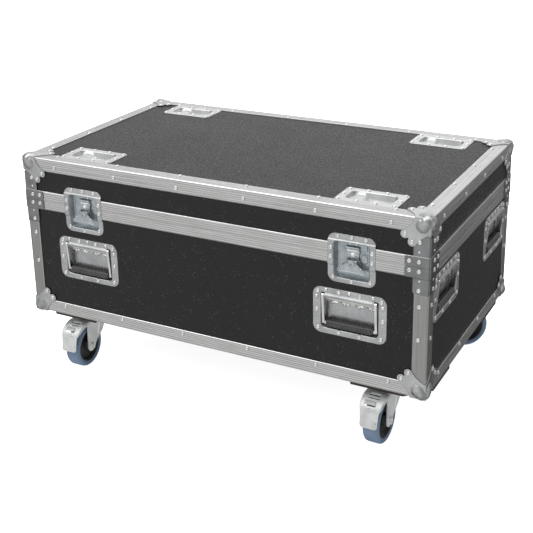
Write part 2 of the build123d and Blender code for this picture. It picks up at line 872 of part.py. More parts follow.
def lid_panels():
    side = half_length - angle_wall
    front = half_width - angle_wall
    wall_from = parting + seal_gap / 2 + rim_cap
    top = block(-side, side, -front, front, lid_panel_under, case_top - angle_wall)
    for place in cup_places():
        top -= place * cup_cavity(cup_wall + panel_clearance, cup_depth + cut_overrun)
    front_wall = block(-side, side, -front, panel_thickness - front, wall_from, lid_panel_under)
    rear_wall = mirror(front_wall, about=Plane.XZ)
    inner = front - panel_thickness
    end_wall = block(-side, panel_thickness - side, -inner, inner, wall_from, lid_panel_under)
    for across in (-latch_offset, latch_offset):
        front_wall -= front_frame(across, parting) * latch_pocket(panel_clearance)
    return top, front_wall, rear_wall, end_wall


# Places


def cup_places():
    across = half_length - cup_end_offset
    along = half_width - cup_side_offset
    return [Pos(x, y, case_top) for x in (-across, across) for y in (-along, along)]


def handle_frames():
    return {
        "front_left": front_frame(-handle_front_offset, handle_front_level),
        "front_right": front_frame(handle_front_offset, handle_front_level),
        "left_front": end_frame(-1, -handle_end_offset, handle_end_level),
        "left_rear": end_frame(-1, handle_end_offset, handle_end_level),
        "right_front": end_frame(1, -handle_end_offset, handle_end_level),
        "right_rear": end_frame(1, handle_end_offset, handle_end_level),
    }


def castor_centres():
    across = half_length - castor_end_inset
    along = half_width - castor_side_inset
    return {
        "front_left": Pos(-across, -along),
        "front_right": Pos(across, -along),
        "rear_left": Pos(-across, along),
        "rear_right": Pos(across, along),
    }


# Base

floor_panel, base_front, base_rear, base_end = base_panels()
write("base_floor_panel", [floor_panel])
write("base_front_panel", [base_front])
write("base_rear_panel", [base_rear])
write("base_end_panels", on_sides(base_end))
write("base_edge_angles", edge_angles(case_bottom, True, base_height - base_rim_height - seal_gap / 2))
write("base_rim", rim(base_rim_height, False))

corner_place = Pos(-half_length, -half_width, 0)
low_ball = corner_place * Pos(0, 0, case_bottom) * ball_corner()
write("base_ball_corners", on_corners(low_ball))
base_brace = mirror(corner_brace(base_brace_height, base_rim_height), about=Plane.XY)
base_brace = Pos(0, 0, parting - seal_gap / 2) * base_brace
write("base_corner_braces", on_corners(corner_place * base_brace))

dish = handle_dish()
bail = handle_bail()
grip = handle_grip()
write("handle_dishes", [frame * dish for frame in handle_frames().values()])
for name, frame in handle_frames().items():
    write("handle_bail_" + name, [frame * bail])
    write("handle_grip_" + name, [frame * grip])

latch_frames = {
    "left": front_frame(-latch_offset, parting),
    "right": front_frame(latch_offset, parting),
}
write("latch_lower_dishes", [frame * latch_dish_half(False) for frame in latch_frames.values()])
for name, frame in latch_frames.items():
    at_axis = frame * Pos(0, -latch_axis_drop, 0)
    write("latch_rotor_" + name, [at_axis * latch_rotor()])
    write("latch_hook_" + name, [at_axis * latch_hook()])
    write("latch_wing_" + name, [at_axis * latch_wing()])

write("castor_boards", on_corners(castor_board()))
write("castor_top_plates", [centre * castor_top_plate() for centre in castor_centres().values()])
bolts = [place * castor_bolt() for place in bolt_places()]
write("castor_bolts", [centre * bolt for centre in castor_centres().values() for bolt in bolts])
for (name, centre), turn in zip(castor_centres().items(), castor_turns):
    turned_centre = centre * Rot(0, 0, turn)
    is_braked = name.startswith("front")
    write("castor_fork_" + name, [turned_centre * castor_fork(is_braked)])
    write("castor_tyre_" + name, [turned_centre * castor_tyre()])
    write("castor_core_" + name, [turned_centre * castor_core()])
    if is_braked:
        write("brake_pedal_" + name, [turned_centre * brake_pedal()])

hinge_frames = [rear_frame(across, parting) for across in (-hinge_offset, hinge_offset)]
write("hinge_base_leaves", [frame * hinge_leaf(False) for frame in hinge_frames])
write("hinge_pins", [frame * hinge_pin() for frame in hinge_frames])

# Lid

lid_top, lid_front, lid_rear, lid_end = lid_panels()
write("lid_top_panel", [lid_top])
write("lid_front_panel", [lid_front])
write("lid_rear_panel", [lid_rear])
write("lid_end_panels", on_sides(lid_end))
write("lid_edge_angles", edge_angles(case_top, False, lid_height - lid_rim_height - seal_gap / 2))
write("lid_rim", rim(lid_rim_height, True))
high_ball = corner_place * Pos(0, 0, case_top) * mirror(ball_corner(), about=Plane.XY)
write("lid_ball_corners", on_corners(high_ball))
write("lid_corner_braces", on_corners(corner_place * Pos(0, 0, parting + seal_gap / 2) * lid_brace()))
write("stacking_cups", [place * stacking_cup() for place in cup_places()])
write("latch_upper_dishes", [frame * latch_dish_half(True) for frame in latch_frames.values()])
write("latch_keepers", [frame * latch_keeper() for frame in latch_frames.values()])
write("hinge_lid_leaves", [frame * hinge_leaf(True) for frame in hinge_frames])
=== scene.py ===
import bpy
import bmesh
import json
import math
from mathutils import Matrix, Vector


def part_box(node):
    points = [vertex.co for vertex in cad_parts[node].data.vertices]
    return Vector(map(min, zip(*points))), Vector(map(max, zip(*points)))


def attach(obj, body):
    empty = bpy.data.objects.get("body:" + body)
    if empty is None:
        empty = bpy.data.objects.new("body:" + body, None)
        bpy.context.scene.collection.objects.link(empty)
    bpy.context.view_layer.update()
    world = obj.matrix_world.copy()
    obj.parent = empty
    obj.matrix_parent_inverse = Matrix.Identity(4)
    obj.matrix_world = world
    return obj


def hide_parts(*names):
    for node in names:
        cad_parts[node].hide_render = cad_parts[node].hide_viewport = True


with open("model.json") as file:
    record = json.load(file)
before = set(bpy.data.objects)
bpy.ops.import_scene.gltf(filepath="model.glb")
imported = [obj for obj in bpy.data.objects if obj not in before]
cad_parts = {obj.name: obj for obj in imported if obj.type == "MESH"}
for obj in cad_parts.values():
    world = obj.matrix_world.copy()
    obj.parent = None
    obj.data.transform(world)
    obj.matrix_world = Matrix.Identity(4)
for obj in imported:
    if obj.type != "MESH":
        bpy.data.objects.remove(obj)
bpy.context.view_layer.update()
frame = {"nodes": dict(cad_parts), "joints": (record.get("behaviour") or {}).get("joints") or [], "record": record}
nodes = frame["nodes"]
joints = {joint["name"]: joint for joint in frame["joints"]}
print("stage: frame loaded,", len(nodes), "nodes")

mm = 0.001
halfLength, halfWidth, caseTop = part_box("lid_edge_angles")[1]
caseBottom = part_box("base_edge_angles")[0].z
parting = (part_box("base_corner_braces")[1].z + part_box("lid_corner_braces")[0].z) / 2
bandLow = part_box("base_rim")[0].z
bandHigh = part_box("lid_rim")[1].z
lengthways = ("left", "right")
uprights = ((("front", "rear"), halfLength), (lengthways, halfWidth))
corners = [(x, y) for x in (-1, 1) for y in (-1, 1)]
latchX = {side: joints["latch_turn_" + side]["pos_m"][0] for side in lengthways}
castorPlaces = ("front_left", "front_right", "rear_left", "rear_right")
handleNames = ("front_left", "front_right", "left_front", "left_rear", "right_front", "right_rear")

# Each face's upward and outward direction, and how far it stands out
caseFaces = {
    "front": ((0, 0, 1), (0, -1, 0), halfWidth), "rear": ((0, 0, 1), (0, 1, 0), halfWidth),
    "left": ((0, 0, 1), (-1, 0, 0), halfLength), "right": ((0, 0, 1), (1, 0, 0), halfLength),
    "top": ((0, 1, 0), (0, 0, 1), caseTop), "bottom": ((0, -1, 0), (0, 0, -1), -caseBottom),
}


def axesOf(*directions):
    return Matrix(directions).transposed().to_4x4()


def faceFrame(side, across, level):
    # A place on a face of the case: local X across, Y up, Z outwards
    up, outward, distance = caseFaces[side]
    turn = axesOf(Vector(up).cross(Vector(outward)), up, outward)
    return turn @ Matrix.Translation((across, level, distance))


def onFaces(frames, spots, height=0.0):
    # The spots are (X, Y) in millimetres, or (X, Y, Z) where each has its own height
    return [face @ Matrix.Translation(Vector((*spot, height)[:3]) * mm) for face in frames for spot in spots]


def bothSides(*spots):
    return [(sign * x, *rest) for x, *rest in spots for sign in (-1, 1)]


def pick(look, names):
    return [look[name] for name in names.split()]


def settled(item, **settings):
    for key, value in settings.items():
        setattr(item, key, value)
    return item


def clamped(value, low=0, high=1):
    return min(max(value, low), high)


def ramp(value):
    # 0 to 1 with a soft start and a soft end
    share = clamped(value)
    return share * share * (3 - 2 * share)


# Materials

def connect(node, inputs):
    for key, value in inputs.items():
        if isinstance(value, bpy.types.NodeSocket):
            node.id_data.links.new(value, node.inputs[key])
        else:
            node.inputs[key].default_value = value


def addNode(tree, kind, inputs, **settings):
    node = settled(tree.nodes.new(kind), **settings)
    connect(node, inputs)
    return node


def calc(operation, first, *others, clamp=False):
    # One operation over two values or more, from left to right
    tree = [value for value in (first, *others) if isinstance(value, bpy.types.NodeSocket)][0].id_data
    for other in others or (0.0,):
        node = addNode(tree, "ShaderNodeMath", {0: first, 1: other}, operation=operation, use_clamp=clamp)
        first = node.outputs[0]
    return first


def startMaterial(name, metallic, specular):
    material = bpy.data.materials.new(name)
    material.use_nodes = True
    tree = material.node_tree
    shader = tree.nodes["Principled BSDF"]
    connect(shader, {"Metallic": metallic, "Specular IOR Level": specular})
    return material, tree, shader, addNode(tree, "ShaderNodeTexCoord", {}).outputs["Object"]


def noise(place, scale, detail=2.0, roughness=0.5):
    settings = {"Vector": place, "Scale": scale, "Detail": detail, "Roughness": roughness}
    return addNode(place.id_data, "ShaderNodeTexNoise", settings).outputs["Fac"]


def spread(factor, low, high, fromLow=0.3, fromHigh=0.7):
    settings = {"Value": factor, "From Min": fromLow, "From Max": fromHigh, "To Min": low, "To Max": high}
    return addNode(factor.id_data, "ShaderNodeMapRange", settings).outputs[0]


def blendColors(factor, first, second):
    node = addNode(factor.id_data, "ShaderNodeMix", {"Factor": factor}, data_type="RGBA")
    sockets = [s for s in node.inputs if s.type == "RGBA"]
    for socket, value in zip(sockets, (first, second)):
        if isinstance(value, bpy.types.NodeSocket):
            node.id_data.links.new(value, socket)
        else:
            socket.default_value = (*value, 1)
    return [s for s in node.outputs if s.type == "RGBA"][0]


def dress(shader, color, roughness, height, distance):
    # Colour, roughness and bump of a finish
    bump = addNode(shader.id_data, "ShaderNodeBump", {"Height": height, "Distance": distance})
    connect(shader, {"Base Color": color, "Roughness": roughness, "Normal": bump.outputs[0]})


def finishMaterial(name, look):
    # Metal, rubber, nylon and stained wood: a colour that varies, a fine grain and an uneven sheen
    material, tree, shader, place = startMaterial(name, look["metallic"], look["specular"])
    broad = noise(place, look["blotch"], 3.0)
    drawn = addNode(tree, "ShaderNodeMapping", {"Vector": place, "Scale": look["stretch"]}).outputs[0]
    fine = noise(drawn, look["grain"], 3.0)
    color = blendColors(spread(broad, 0, 1), look["dark"], look["light"])
    patches = calc("MULTIPLY", broad, look["patchy"])
    sheen = calc("ADD", patches, calc("MULTIPLY", fine, 1 - look["patchy"]))
    dress(shader, color, spread(sheen, *look["roughness"]), fine, look["bump"])
    return material


def lookOf(base, dark, light, roughness, **others):
    return dict(base, dark=dark, light=light, roughness=roughness, **others)


metal = dict(metallic=1.0, specular=0.5, patchy=0.5, stretch=(1, 1, 1), grain=900)
sheet = dict(metal, blotch=34, grain=520, stretch=(1, 1, 0.06), bump=0.06 * mm)
pressed = dict(sheet, metallic=0.78)
polished = dict(metal, blotch=30, bump=0.06 * mm)
bright = dict(metal, blotch=45, bump=0.04 * mm)
plated = dict(metal, blotch=55, grain=700, bump=0.04 * mm)
cast = dict(metal, metallic=0.45, grain=800, bump=0.05 * mm)
rubber = dict(metallic=0.0, specular=0.4, patchy=0.0, stretch=(1, 1, 1), grain=600, blotch=20, bump=0.1 * mm)
looks = {
    "stampedSteel": lookOf(dict(polished, metallic=0.9), (0.31, 0.315, 0.32), (0.45, 0.455, 0.455),
                           (0.12, 0.21)),
    "cupSteel": lookOf(polished, (0.42, 0.425, 0.43), (0.55, 0.555, 0.555), (0.14, 0.24)),
    "braceSteel": lookOf(sheet, (0.17, 0.173, 0.176), (0.25, 0.254, 0.258), (0.20, 0.32)),
    "dishSteel": lookOf(pressed, (0.29, 0.295, 0.30), (0.41, 0.415, 0.42), (0.20, 0.32)),
    "brightSteel": lookOf(bright, (0.62, 0.62, 0.61), (0.78, 0.78, 0.77), (0.16, 0.28)),
    "brightZinc": lookOf(plated, (0.50, 0.54, 0.56), (0.70, 0.74, 0.76), (0.12, 0.22)),
    "castorZinc": lookOf(cast, (0.56, 0.565, 0.565), (0.70, 0.705, 0.70), (0.28, 0.40), blotch=40),
    "pedalZinc": lookOf(cast, (0.42, 0.43, 0.43), (0.54, 0.55, 0.545), (0.34, 0.46), blotch=50),
    "latchZinc": lookOf(dict(plated, metallic=0.6, bump=0.05 * mm), (0.24, 0.272, 0.29), (0.36, 0.40, 0.42),
                        (0.13, 0.24)),
    "rivetNickel": lookOf(dict(metal, blotch=60, bump=0.03 * mm), (0.62, 0.62, 0.61), (0.80, 0.80, 0.79),
                          (0.14, 0.24)),
    "blueTyre": lookOf(rubber, (0.066, 0.108, 0.178), (0.115, 0.160, 0.225), (0.45, 0.6)),
    "blackNylon": lookOf(dict(rubber, blotch=30, grain=700, bump=0.08 * mm), (0.010, 0.010, 0.011),
                         (0.020, 0.020, 0.021), (0.35, 0.5)),
    "gripRubber": lookOf(dict(rubber, specular=0.7, blotch=40, grain=900), (0.014, 0.014, 0.014),
                         (0.030, 0.030, 0.030), (0.30, 0.42)),
    "boardPly": lookOf(dict(rubber, specular=0.3, blotch=25, grain=300, bump=0.15 * mm, stretch=(1, 8, 8)),
                       (0.016, 0.012, 0.010), (0.035, 0.026, 0.020), (0.5, 0.7)),
}

laminateLook = dict(
    dark=(0.0026, 0.0026, 0.0028), light=(0.0080, 0.0080, 0.0083), speck=(0.075, 0.075, 0.075),
    pebble=330, grain=260, grainRange=(0.38, 0.64), fine=1500, fineShare=0.35, broad=7.0, depth=0.45 * mm,
    roughness=(0.46, 0.50), unevenness=0.9, specular=0.31,
    dots=[dict(cells=210, size=0.17, patch=60, least=0.56), dict(cells=14, size=0.012, patch=9, least=0.5)],
)


def laminateMaterial(name):
    # Black pebbled laminate with pale specks and a little dust
    look = laminateLook
    material, tree, shader, place = startMaterial(name, 0.0, look["specular"])
    cells = {"Vector": place, "Scale": look["pebble"]}
    pebble = addNode(tree, "ShaderNodeTexVoronoi", cells, feature="SMOOTH_F1").outputs["Distance"]
    grain = noise(place, look["grain"], 3.0, 0.6)
    color = blendColors(spread(grain, 0, 1, *look["grainRange"]), look["dark"], look["light"])
    for dots in look["dots"]:
        specks = addNode(tree, "ShaderNodeTexVoronoi", {"Vector": place, "Scale": dots["cells"]})
        small = calc("LESS_THAN", specks.outputs["Distance"], dots["size"])
        chosen = calc("GREATER_THAN", noise(place, dots["patch"]), dots["least"])
        color = blendColors(calc("MULTIPLY", small, chosen), color, look["speck"])
    uneven = calc("MULTIPLY", calc("SUBTRACT", grain, 0.5), look["unevenness"])
    sheen = calc("ADD", spread(noise(place, look["broad"], 3.0), *look["roughness"]), uneven)
    fine = calc("MULTIPLY", noise(place, look["fine"]), look["fineShare"])
    dress(shader, color, sheen, calc("ADD", pebble, fine), look["depth"])
    return material


extrusionLook = dict(
    # From dark to light the colour follows the rib lines, as painted shade and highlight, and the drawn streaks
    dark=(0.37, 0.37, 0.37), light=(0.62, 0.62, 0.615), ribShadeAndGrainRange=(0.22, 0.72), roughness=(0.24, 0.38),
    grime=(0.40, 0.395, 0.385), grimeMost=0.4, grimeRange=(0.52, 0.75), blotch=9.0,
    # post is a painted shade colour: the vertical posts are drawn darker than the bars of the same aluminium
    post=(0.26, 0.255, 0.245), postShadeMost=0.68, flange=30 * mm, streak=900.0, drawing=0.01,
    ribs=[(4.6 * mm, 0.22), (1.9 * mm, 0.08)], ribDepth=0.40 * mm,
    # edge is the painted highlight colour of the rounded edges; edgeDrop bumps the edges round
    edge=(0.76, 0.76, 0.755), edgeHighlightMost=0.7, edgeWidth=2.2 * mm, edgeDrop=-3.6,
)


def edgeShare(gap):
    # 0 on the bar's flat face, rising to 1 at its edge
    width = extrusionLook["edgeWidth"]
    return calc("DIVIDE", calc("SUBTRACT", width, gap), width, clamp=True)


def depthInside(value, middle, half):
    return calc("SUBTRACT", half, calc("ABSOLUTE", calc("SUBTRACT", value, middle)))


def anglePlace(split):
    # Across an edge angle, along it, whether it is a post, and how near its two edges are
    middles = (0, 0, (caseTop + caseBottom) / 2)
    halves = (halfLength, halfWidth, (caseTop - caseBottom) / 2)
    gaps = [depthInside(*values) for values in zip(split, middles, halves)]
    along = calc("MAXIMUM", *gaps)
    across = calc("SUBTRACT", calc("ADD", *gaps), along)
    isPost = calc("GREATER_THAN", gaps[2], calc("MAXIMUM", *gaps[:2]))
    inner = edgeShare(calc("SUBTRACT", extrusionLook["flange"], across))
    return across, along, isPost, calc("MAXIMUM", inner, edgeShare(across))


def extrusionMaterial(name, isBand):
    # Drawn aluminium: ribs and streaks along the bar and rounded edges; the colour holds painted light: a painted
    # highlight near the edges, painted shade and highlight in the rib lines, painted shade on the posts
    look = extrusionLook
    material, tree, shader, place = startMaterial(name, 1.0, 0.5)
    split = addNode(tree, "ShaderNodeSeparateXYZ", {0: place}).outputs
    if isBand:
        across, along = split[2], calc("ADD", split[0], split[1])
        edgeRoundAndHighlight = edgeShare(depthInside(across, (bandHigh + bandLow) / 2, (bandHigh - bandLow) / 2))
    else:
        across, along, isPost, edgeRoundAndHighlight = anglePlace(split)
    drawn = addNode(tree, "ShaderNodeCombineXYZ", {0: across, 1: calc("MULTIPLY", along, look["drawing"])})
    streak = noise(drawn.outputs[0], look["streak"], 3.0)
    ribs = []
    for pitch, share in look["ribs"]:
        ribs.append(calc("MULTIPLY", calc("SINE", calc("MULTIPLY", across, math.tau / pitch)), share))
    form = calc("ADD", *ribs, streak)
    # Painted shade and highlight: the rib lines are drawn dark and light in the colour; the streaks are the
    # metal's own drawn grain
    color = blendColors(spread(form, 0, 1, *look["ribShadeAndGrainRange"]), look["dark"], look["light"])
    grime = spread(noise(place, look["blotch"], 4.0), 0, look["grimeMost"], *look["grimeRange"])
    color = blendColors(grime, color, look["grime"])
    if not isBand:
        # Painted shade: the vertical posts are darkened towards the post colour
        color = blendColors(calc("MULTIPLY", isPost, look["postShadeMost"]), color, look["post"])
    # Painted highlight: the colour lightens towards the edge colour near the edges of the bars and bands
    color = blendColors(calc("MULTIPLY", edgeRoundAndHighlight, look["edgeHighlightMost"]), color, look["edge"])
    height = calc("ADD", form, calc("MULTIPLY", edgeRoundAndHighlight, edgeRoundAndHighlight, look["edgeDrop"]))
    dress(shader, color, spread(streak, *look["roughness"]), height, look["ribDepth"])
    return material


finish = {name: finishMaterial(name, look) for name, look in looks.items()}
finish["laminate"] = laminateMaterial("laminate")
finish["edgeAluminium"] = extrusionMaterial("edgeAluminium", False)
finish["bandAluminium"] = extrusionMaterial("bandAluminium", True)

slotFinish = {
    "laminate": "laminate", "aluminium": "edgeAluminium", "stamped_steel": "stampedSteel",
    "latch_zinc": "latchZinc", "bail_steel": "castorZinc", "grip_rubber": "gripRubber",
    "board_wood": "boardPly", "castor_zinc": "castorZinc", "tyre_rubber": "blueTyre",
    "wheel_core": "blackNylon",
}
for part in frame["record"]["subparts"]:
    node = nodes[part["node"]]
    chosen = "bandAluminium" if part["node"].endswith("_rim") else slotFinish[part["material_slot"]]
    node.data.materials.clear()
    node.data.materials.append(finish[chosen])
print("stage: materials,", len(finish), "finishes")


# Mesh helpers

# How near two points are joined: in a piece, in a turned form and in a shape read from the CAD
pieceWeld, turnedWeld, cadWeld = 0.01 * mm, 0.005 * mm, 0.002 * mm


def toTemplate(bm, name):
    mesh = bpy.data.meshes.new(name)
    bm.to_mesh(mesh)
    bm.free()
    return mesh


def joined(*pairs):
    # Copies of each template mesh at its places, in one bmesh; a mirrored copy is turned back
    bm = bmesh.new()
    for template, place in [(template, place) for template, places in pairs for place in places]:
        verts, faces = len(bm.verts), len(bm.faces)
        bm.from_mesh(template)
        bm.verts.ensure_lookup_table()
        bmesh.ops.transform(bm, matrix=place, verts=bm.verts[verts:])
        if place.determinant() < 0:
            bm.faces.ensure_lookup_table()
            bmesh.ops.reverse_faces(bm, faces=bm.faces[faces:])
    return bm


def addToScene(name, data):
    item = bpy.data.objects.new(name, data)
    bpy.context.scene.collection.objects.link(item)
    return item


def showMesh(mesh, name, finishNames, body, stands, sharpAngle):
    mesh.polygons.foreach_set("use_smooth", [True] * len(mesh.polygons))
    mesh.set_sharp_from_angle(angle=math.radians(sharpAngle))
    piece = addToScene(name, mesh)
    for finishName in finishNames:
        mesh.materials.append(finish[finishName])
    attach(piece, body)
    if stands:
        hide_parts(*stands)
    return piece


def addPiece(bm, name, finishName, body, slot, stands=(), sharpAngle=35):
    orient(bm, merge=pieceWeld)
    return showMesh(toTemplate(bm, name), name, [finishName], body, stands, sharpAngle)


def finishSheet(piece, wall, edge, limit=40):
    if wall:
        settled(piece.modifiers.new("sheet", "SOLIDIFY"), thickness=wall * mm, offset=-1)
    if edge:
        settled(piece.modifiers.new("softEdge", "BEVEL"), width=edge * mm, segments=2, limit_method="ANGLE",
                angle_limit=math.radians(limit))
    settled(piece.modifiers.new("evenShading", "WEIGHTED_NORMAL"), keep_sharp=True)


def addSheet(template, places, name, finishNames, body, stands=(), wall=0.0, edge=0.0, unit=mm):
    # Copies of an oriented template, drawn in the unit, at each place as one piece
    mesh = toTemplate(joined((template, [place @ Matrix.Scale(unit, 4) for place in places])), name)
    finishSheet(showMesh(mesh, name, finishNames, body, stands, 38), wall, edge)


def orient(bm, outward=None, merge=0.0005):
    bmesh.ops.remove_doubles(bm, verts=bm.verts, dist=merge)
    bmesh.ops.recalc_face_normals(bm, faces=bm.faces)
    if outward:
        total = sum((face.normal * face.calc_area() for face in bm.faces), Vector())
        if total.dot(Vector(outward)) < 0:
            bmesh.ops.reverse_faces(bm, faces=bm.faces)


def sheetTemplate(bm, name, outward=(0, 0, 1)):
    orient(bm, outward)
    return toTemplate(bm, name)


def extruded(bm, edges):
    # The new edges and points beyond a row of edges
    made = bmesh.ops.extrude_edge_only(bm, edges=edges)["geom"]
    kinds = (bmesh.types.BMEdge, bmesh.types.BMVert)
    return [[item for item in made if isinstance(item, kind)] for kind in kinds]


def spun(profile, steps):
    # Profile points are (radius, height) in millimetres; both ends may lie on the axis
    bm = bmesh.new()
    verts = [bm.verts.new((radius * mm, 0, height * mm)) for radius, height in profile]
    edges = [bm.edges.new(pair) for pair in zip(verts, verts[1:])]
    bmesh.ops.spin(bm, geom=verts + edges, cent=(0, 0, 0), axis=(0, 0, 1), angle=math.tau, steps=steps,
                   use_merge=True)
    orient(bm, merge=turnedWeld)
    return bm


def addTurned(profile, steps, line, *naming):
    # A piece turned about a line, a point and a direction; the rest goes to addPiece
    point, axis = line
    bm = spun(profile, steps)
    turn = Vector(axis).to_track_quat("Z", "Y").to_matrix().to_4x4()
    bmesh.ops.transform(bm, matrix=Matrix.Translation(point) @ turn, verts=bm.verts)
    addPiece(bm, *naming)


def quarterRound(x, y, radius, start, steps):
    # Points on a quarter round about (x, y), from its starting angle
    turns = [math.radians(start + 90 * step / steps) for step in range(steps + 1)]
    return [(x + radius * math.cos(turn), y + radius * math.sin(turn)) for turn in turns]


def roundedRing(width, height, radii, level, middle=0.0):
    ring = []
    for quarter, (signX, signY) in enumerate(((1, 1), (-1, 1), (-1, -1), (1, -1))):
        radius = radii[0] if signY > 0 else radii[1]
        x, y = signX * (width / 2 - radius), middle + signY * (height / 2 - radius)
        ring += [Vector((*spot, level)) for spot in quarterRound(x, y, radius, 90 * quarter, 5)]
    return ring


def ringLoft(rings):
    # A closed skin from ring to ring: the first is a circle moved onto its outline, the rest are extruded
    bm = bmesh.new()
    bmesh.ops.create_circle(bm, segments=len(rings[0]), radius=1)
    for vert, point in zip(list(bm.verts), rings[0]):
        vert.co = point
    edges = list(bm.edges)
    for before, ring in zip(rings, rings[1:]):
        edges, verts = extruded(bm, edges)
        for vert in verts:
            nearest = min(range(len(before)), key=lambda index: (before[index] - vert.co).length_squared)
            vert.co = ring[nearest]
    bmesh.ops.contextual_create(bm, geom=edges)
    return bm


def cutAcross(bm, axis, start, run=0.0, count=1, **clearing):
    # Evenly spaced cuts across an axis, where the sheet is bent afterwards
    normal = Vector([float(axis == name) for name in "xyz"])
    for step in range(count):
        spot = normal * (start + run * step / max(count - 1, 1))
        everything = bm.verts[:] + bm.edges[:] + bm.faces[:]
        bmesh.ops.bisect_plane(bm, geom=everything, plane_co=spot, plane_no=normal, dist=0.0001, **clearing)


# Rivets

rivetSize = dict(radius=4.7, dome=1.7, edge=0.5, dimple=2.0, depth=1.3, steps=14, smallShare=0.55)


def rivetTemplate(name, scale):
    r, h, edge, dimple, depth = [scale * size for size in pick(rivetSize, "radius dome edge dimple depth")]
    profile = [(r, 0), (r * 0.97, edge), (r * 0.83, h * 0.84), (r * 0.66, h), (dimple * 1.2, h * 0.95),
               (dimple, h * 0.75), (dimple * 0.75, h - depth), (0, h - depth)]
    return toTemplate(spun(profile, rivetSize["steps"]), name)


rivetMesh = rivetTemplate("rivetHead", 1.0)
smallRivetMesh = rivetTemplate("smallRivetHead", rivetSize["smallShare"])


def rivetsOn(name, body, places, template=rivetMesh):
    addPiece(joined((template, places)), name, "rivetNickel", body, "stamped_steel")


def cornerSpots(spots, height, level, signZ=1):
    # Spots are (in from the vertical edge, up or down from the level), at both ends of every upright face
    places = []
    for sides, half in uprights:
        both = bothSides(*[(half / mm - across, signZ * up) for across, up in spots])
        places += onFaces([faceFrame(side, 0, level) for side in sides], both, height)
    return places


flangeRivets = dict(
    long=[-394.5, -234.5, -75.5, 84.5, 244.0, 401.0], longTop=[-401, -240, -80, 79, 240, 401],
    end=[-203.5, -66, 66, 200], post=[125, 195], drop=18.5, rise=21.5, topInset=25,
)


def edgeRivetPlaces(isLid):
    look = flangeRivets
    level = caseTop - look["drop"] * mm if isLid else caseBottom + look["rise"] * mm
    places = []
    for (sides, _), row in zip(uprights, (look["long"], look["end"])):
        places += onFaces([faceFrame(side, 0, level) for side in sides], [(across, 0) for across in row])
    if not isLid:
        return places + cornerSpots([(look["drop"], up) for up in look["post"]], 0, caseBottom)
    spots = []
    for sign in (-1, 1):
        spots += [(x, sign * (halfWidth / mm - look["topInset"])) for x in look["longTop"]]
        spots += [(sign * (halfLength / mm - look["topInset"]), y) for y in look["end"]]
    return places + onFaces([faceFrame("top", 0, 0)], spots)


for isLid, body in ((True, "lid"), (False, "base")):
    rivetsOn(body + "EdgeRivets", body, edgeRivetPlaces(isLid))
print("stage: edge rivets")


# Wheels: tyre with rounded shoulders, moulded core with a hub and a web

wheelSize = dict(
    radius=50, tyreHalf=18, treadHalf=11, shoulder=7, bead=(3, 0.6), seat=38.2, seatHalf=16, rimLip=34.5,
    lipDrop=2, webHalf=8, hub=13, hubHalf=19, bore=4.3, chamfer=1, fillet=4, flare=1.5, edge=0.6, steps=72,
)


def mirroredProfile(half):
    return half + [(radius, -height) for radius, height in reversed(half)]


def tyreProfile():
    radius, half, tread, shoulder, (beadUp, beadIn), seat, seatHalf = pick(
        wheelSize, "radius tyreHalf treadHalf shoulder bead seat seatHalf")
    points = [(seat, -seatHalf), (seat + beadUp, beadIn - half)]
    points += quarterRound(radius - shoulder, -tread, shoulder, -90, 6)
    return mirroredProfile(points) + points[:1]


def coreProfile():
    bore, hub, hubHalf, web, lip, drop, seat, seatHalf, chamfer, fillet, flare, edge = pick(
        wheelSize, "bore hub hubHalf webHalf rimLip lipDrop seat seatHalf chamfer fillet flare edge")
    half = [(bore, 0), (bore, hubHalf), (hub - chamfer, hubHalf), (hub, hubHalf - chamfer),
            (hub + flare, web + chamfer), (hub + fillet, web), (lip - fillet, web), (lip, seatHalf - drop),
            (lip + chamfer, seatHalf), (seat - edge, seatHalf), (seat, seatHalf - edge), (seat, 0)]
    return half[:-1] + mirroredProfile(half)[len(half):]


for place in castorPlaces:
    body = "castor_wheel_" + place
    axle = pick(joints["wheel_spin_" + place], "pos_m axis")
    addTurned(tyreProfile(), wheelSize["steps"], axle, "tyre." + place, "blueTyre", body, "tyre_rubber",
              ["castor_tyre_" + place])
    addTurned(coreProfile(), wheelSize["steps"], axle, "wheelCore." + place, "blackNylon", body, "wheel_core",
              ["castor_core_" + place], 40)
print("stage: wheels")


# Handle grips: a ribbed moulded sleeve

gripSize = dict(radius=8.5, rib=0.7, half=50, end=1.5, pitch=5, steps=28)
ribShares = ((0.0, 1), (0.15, 0), (0.7, 0), (0.85, 1))


def gripProfile():
    radius, rib, half, end, pitch = pick(gripSize, "radius rib half end pitch")
    points = [(0, -half), (radius - end, -half)]
    for index in range(round(2 * (half - end) / pitch)):
        start = end - half + index * pitch
        points += [(radius - drop * rib, start + share * pitch) for share, drop in ribShares]
    return points + [(radius - end, half), (0, half)]


for name in handleNames:
    low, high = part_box("handle_grip_" + name)
    bar = ((low + high) / 2, (1, 0, 0) if name.startswith("front") else (0, 1, 0))
    addTurned(gripProfile(), gripSize["steps"], bar, "grip." + name, "gripRubber", "handle_" + name,
              "grip_rubber", ["handle_grip_" + name], 50)
print("stage: grips")


# Pressed sheet, drawn in millimetres in a face's frame

plateEdge = ((0, 1.1), (0.5, 0.35), (1.7, 0))
lipShares = ((1, 0), (0.62, 0.07), (0.3, 0.3), (0.07, 0.62), (0, 1))
footShares = ((0, 1), (0.3, 0.3), (1, 0))
leastRadius = 0.8
moundShares = ((0, -0.2), (0.12, 0.35), (0.3, 0.75), (0.42, 0.95))
moundRound = 0.98


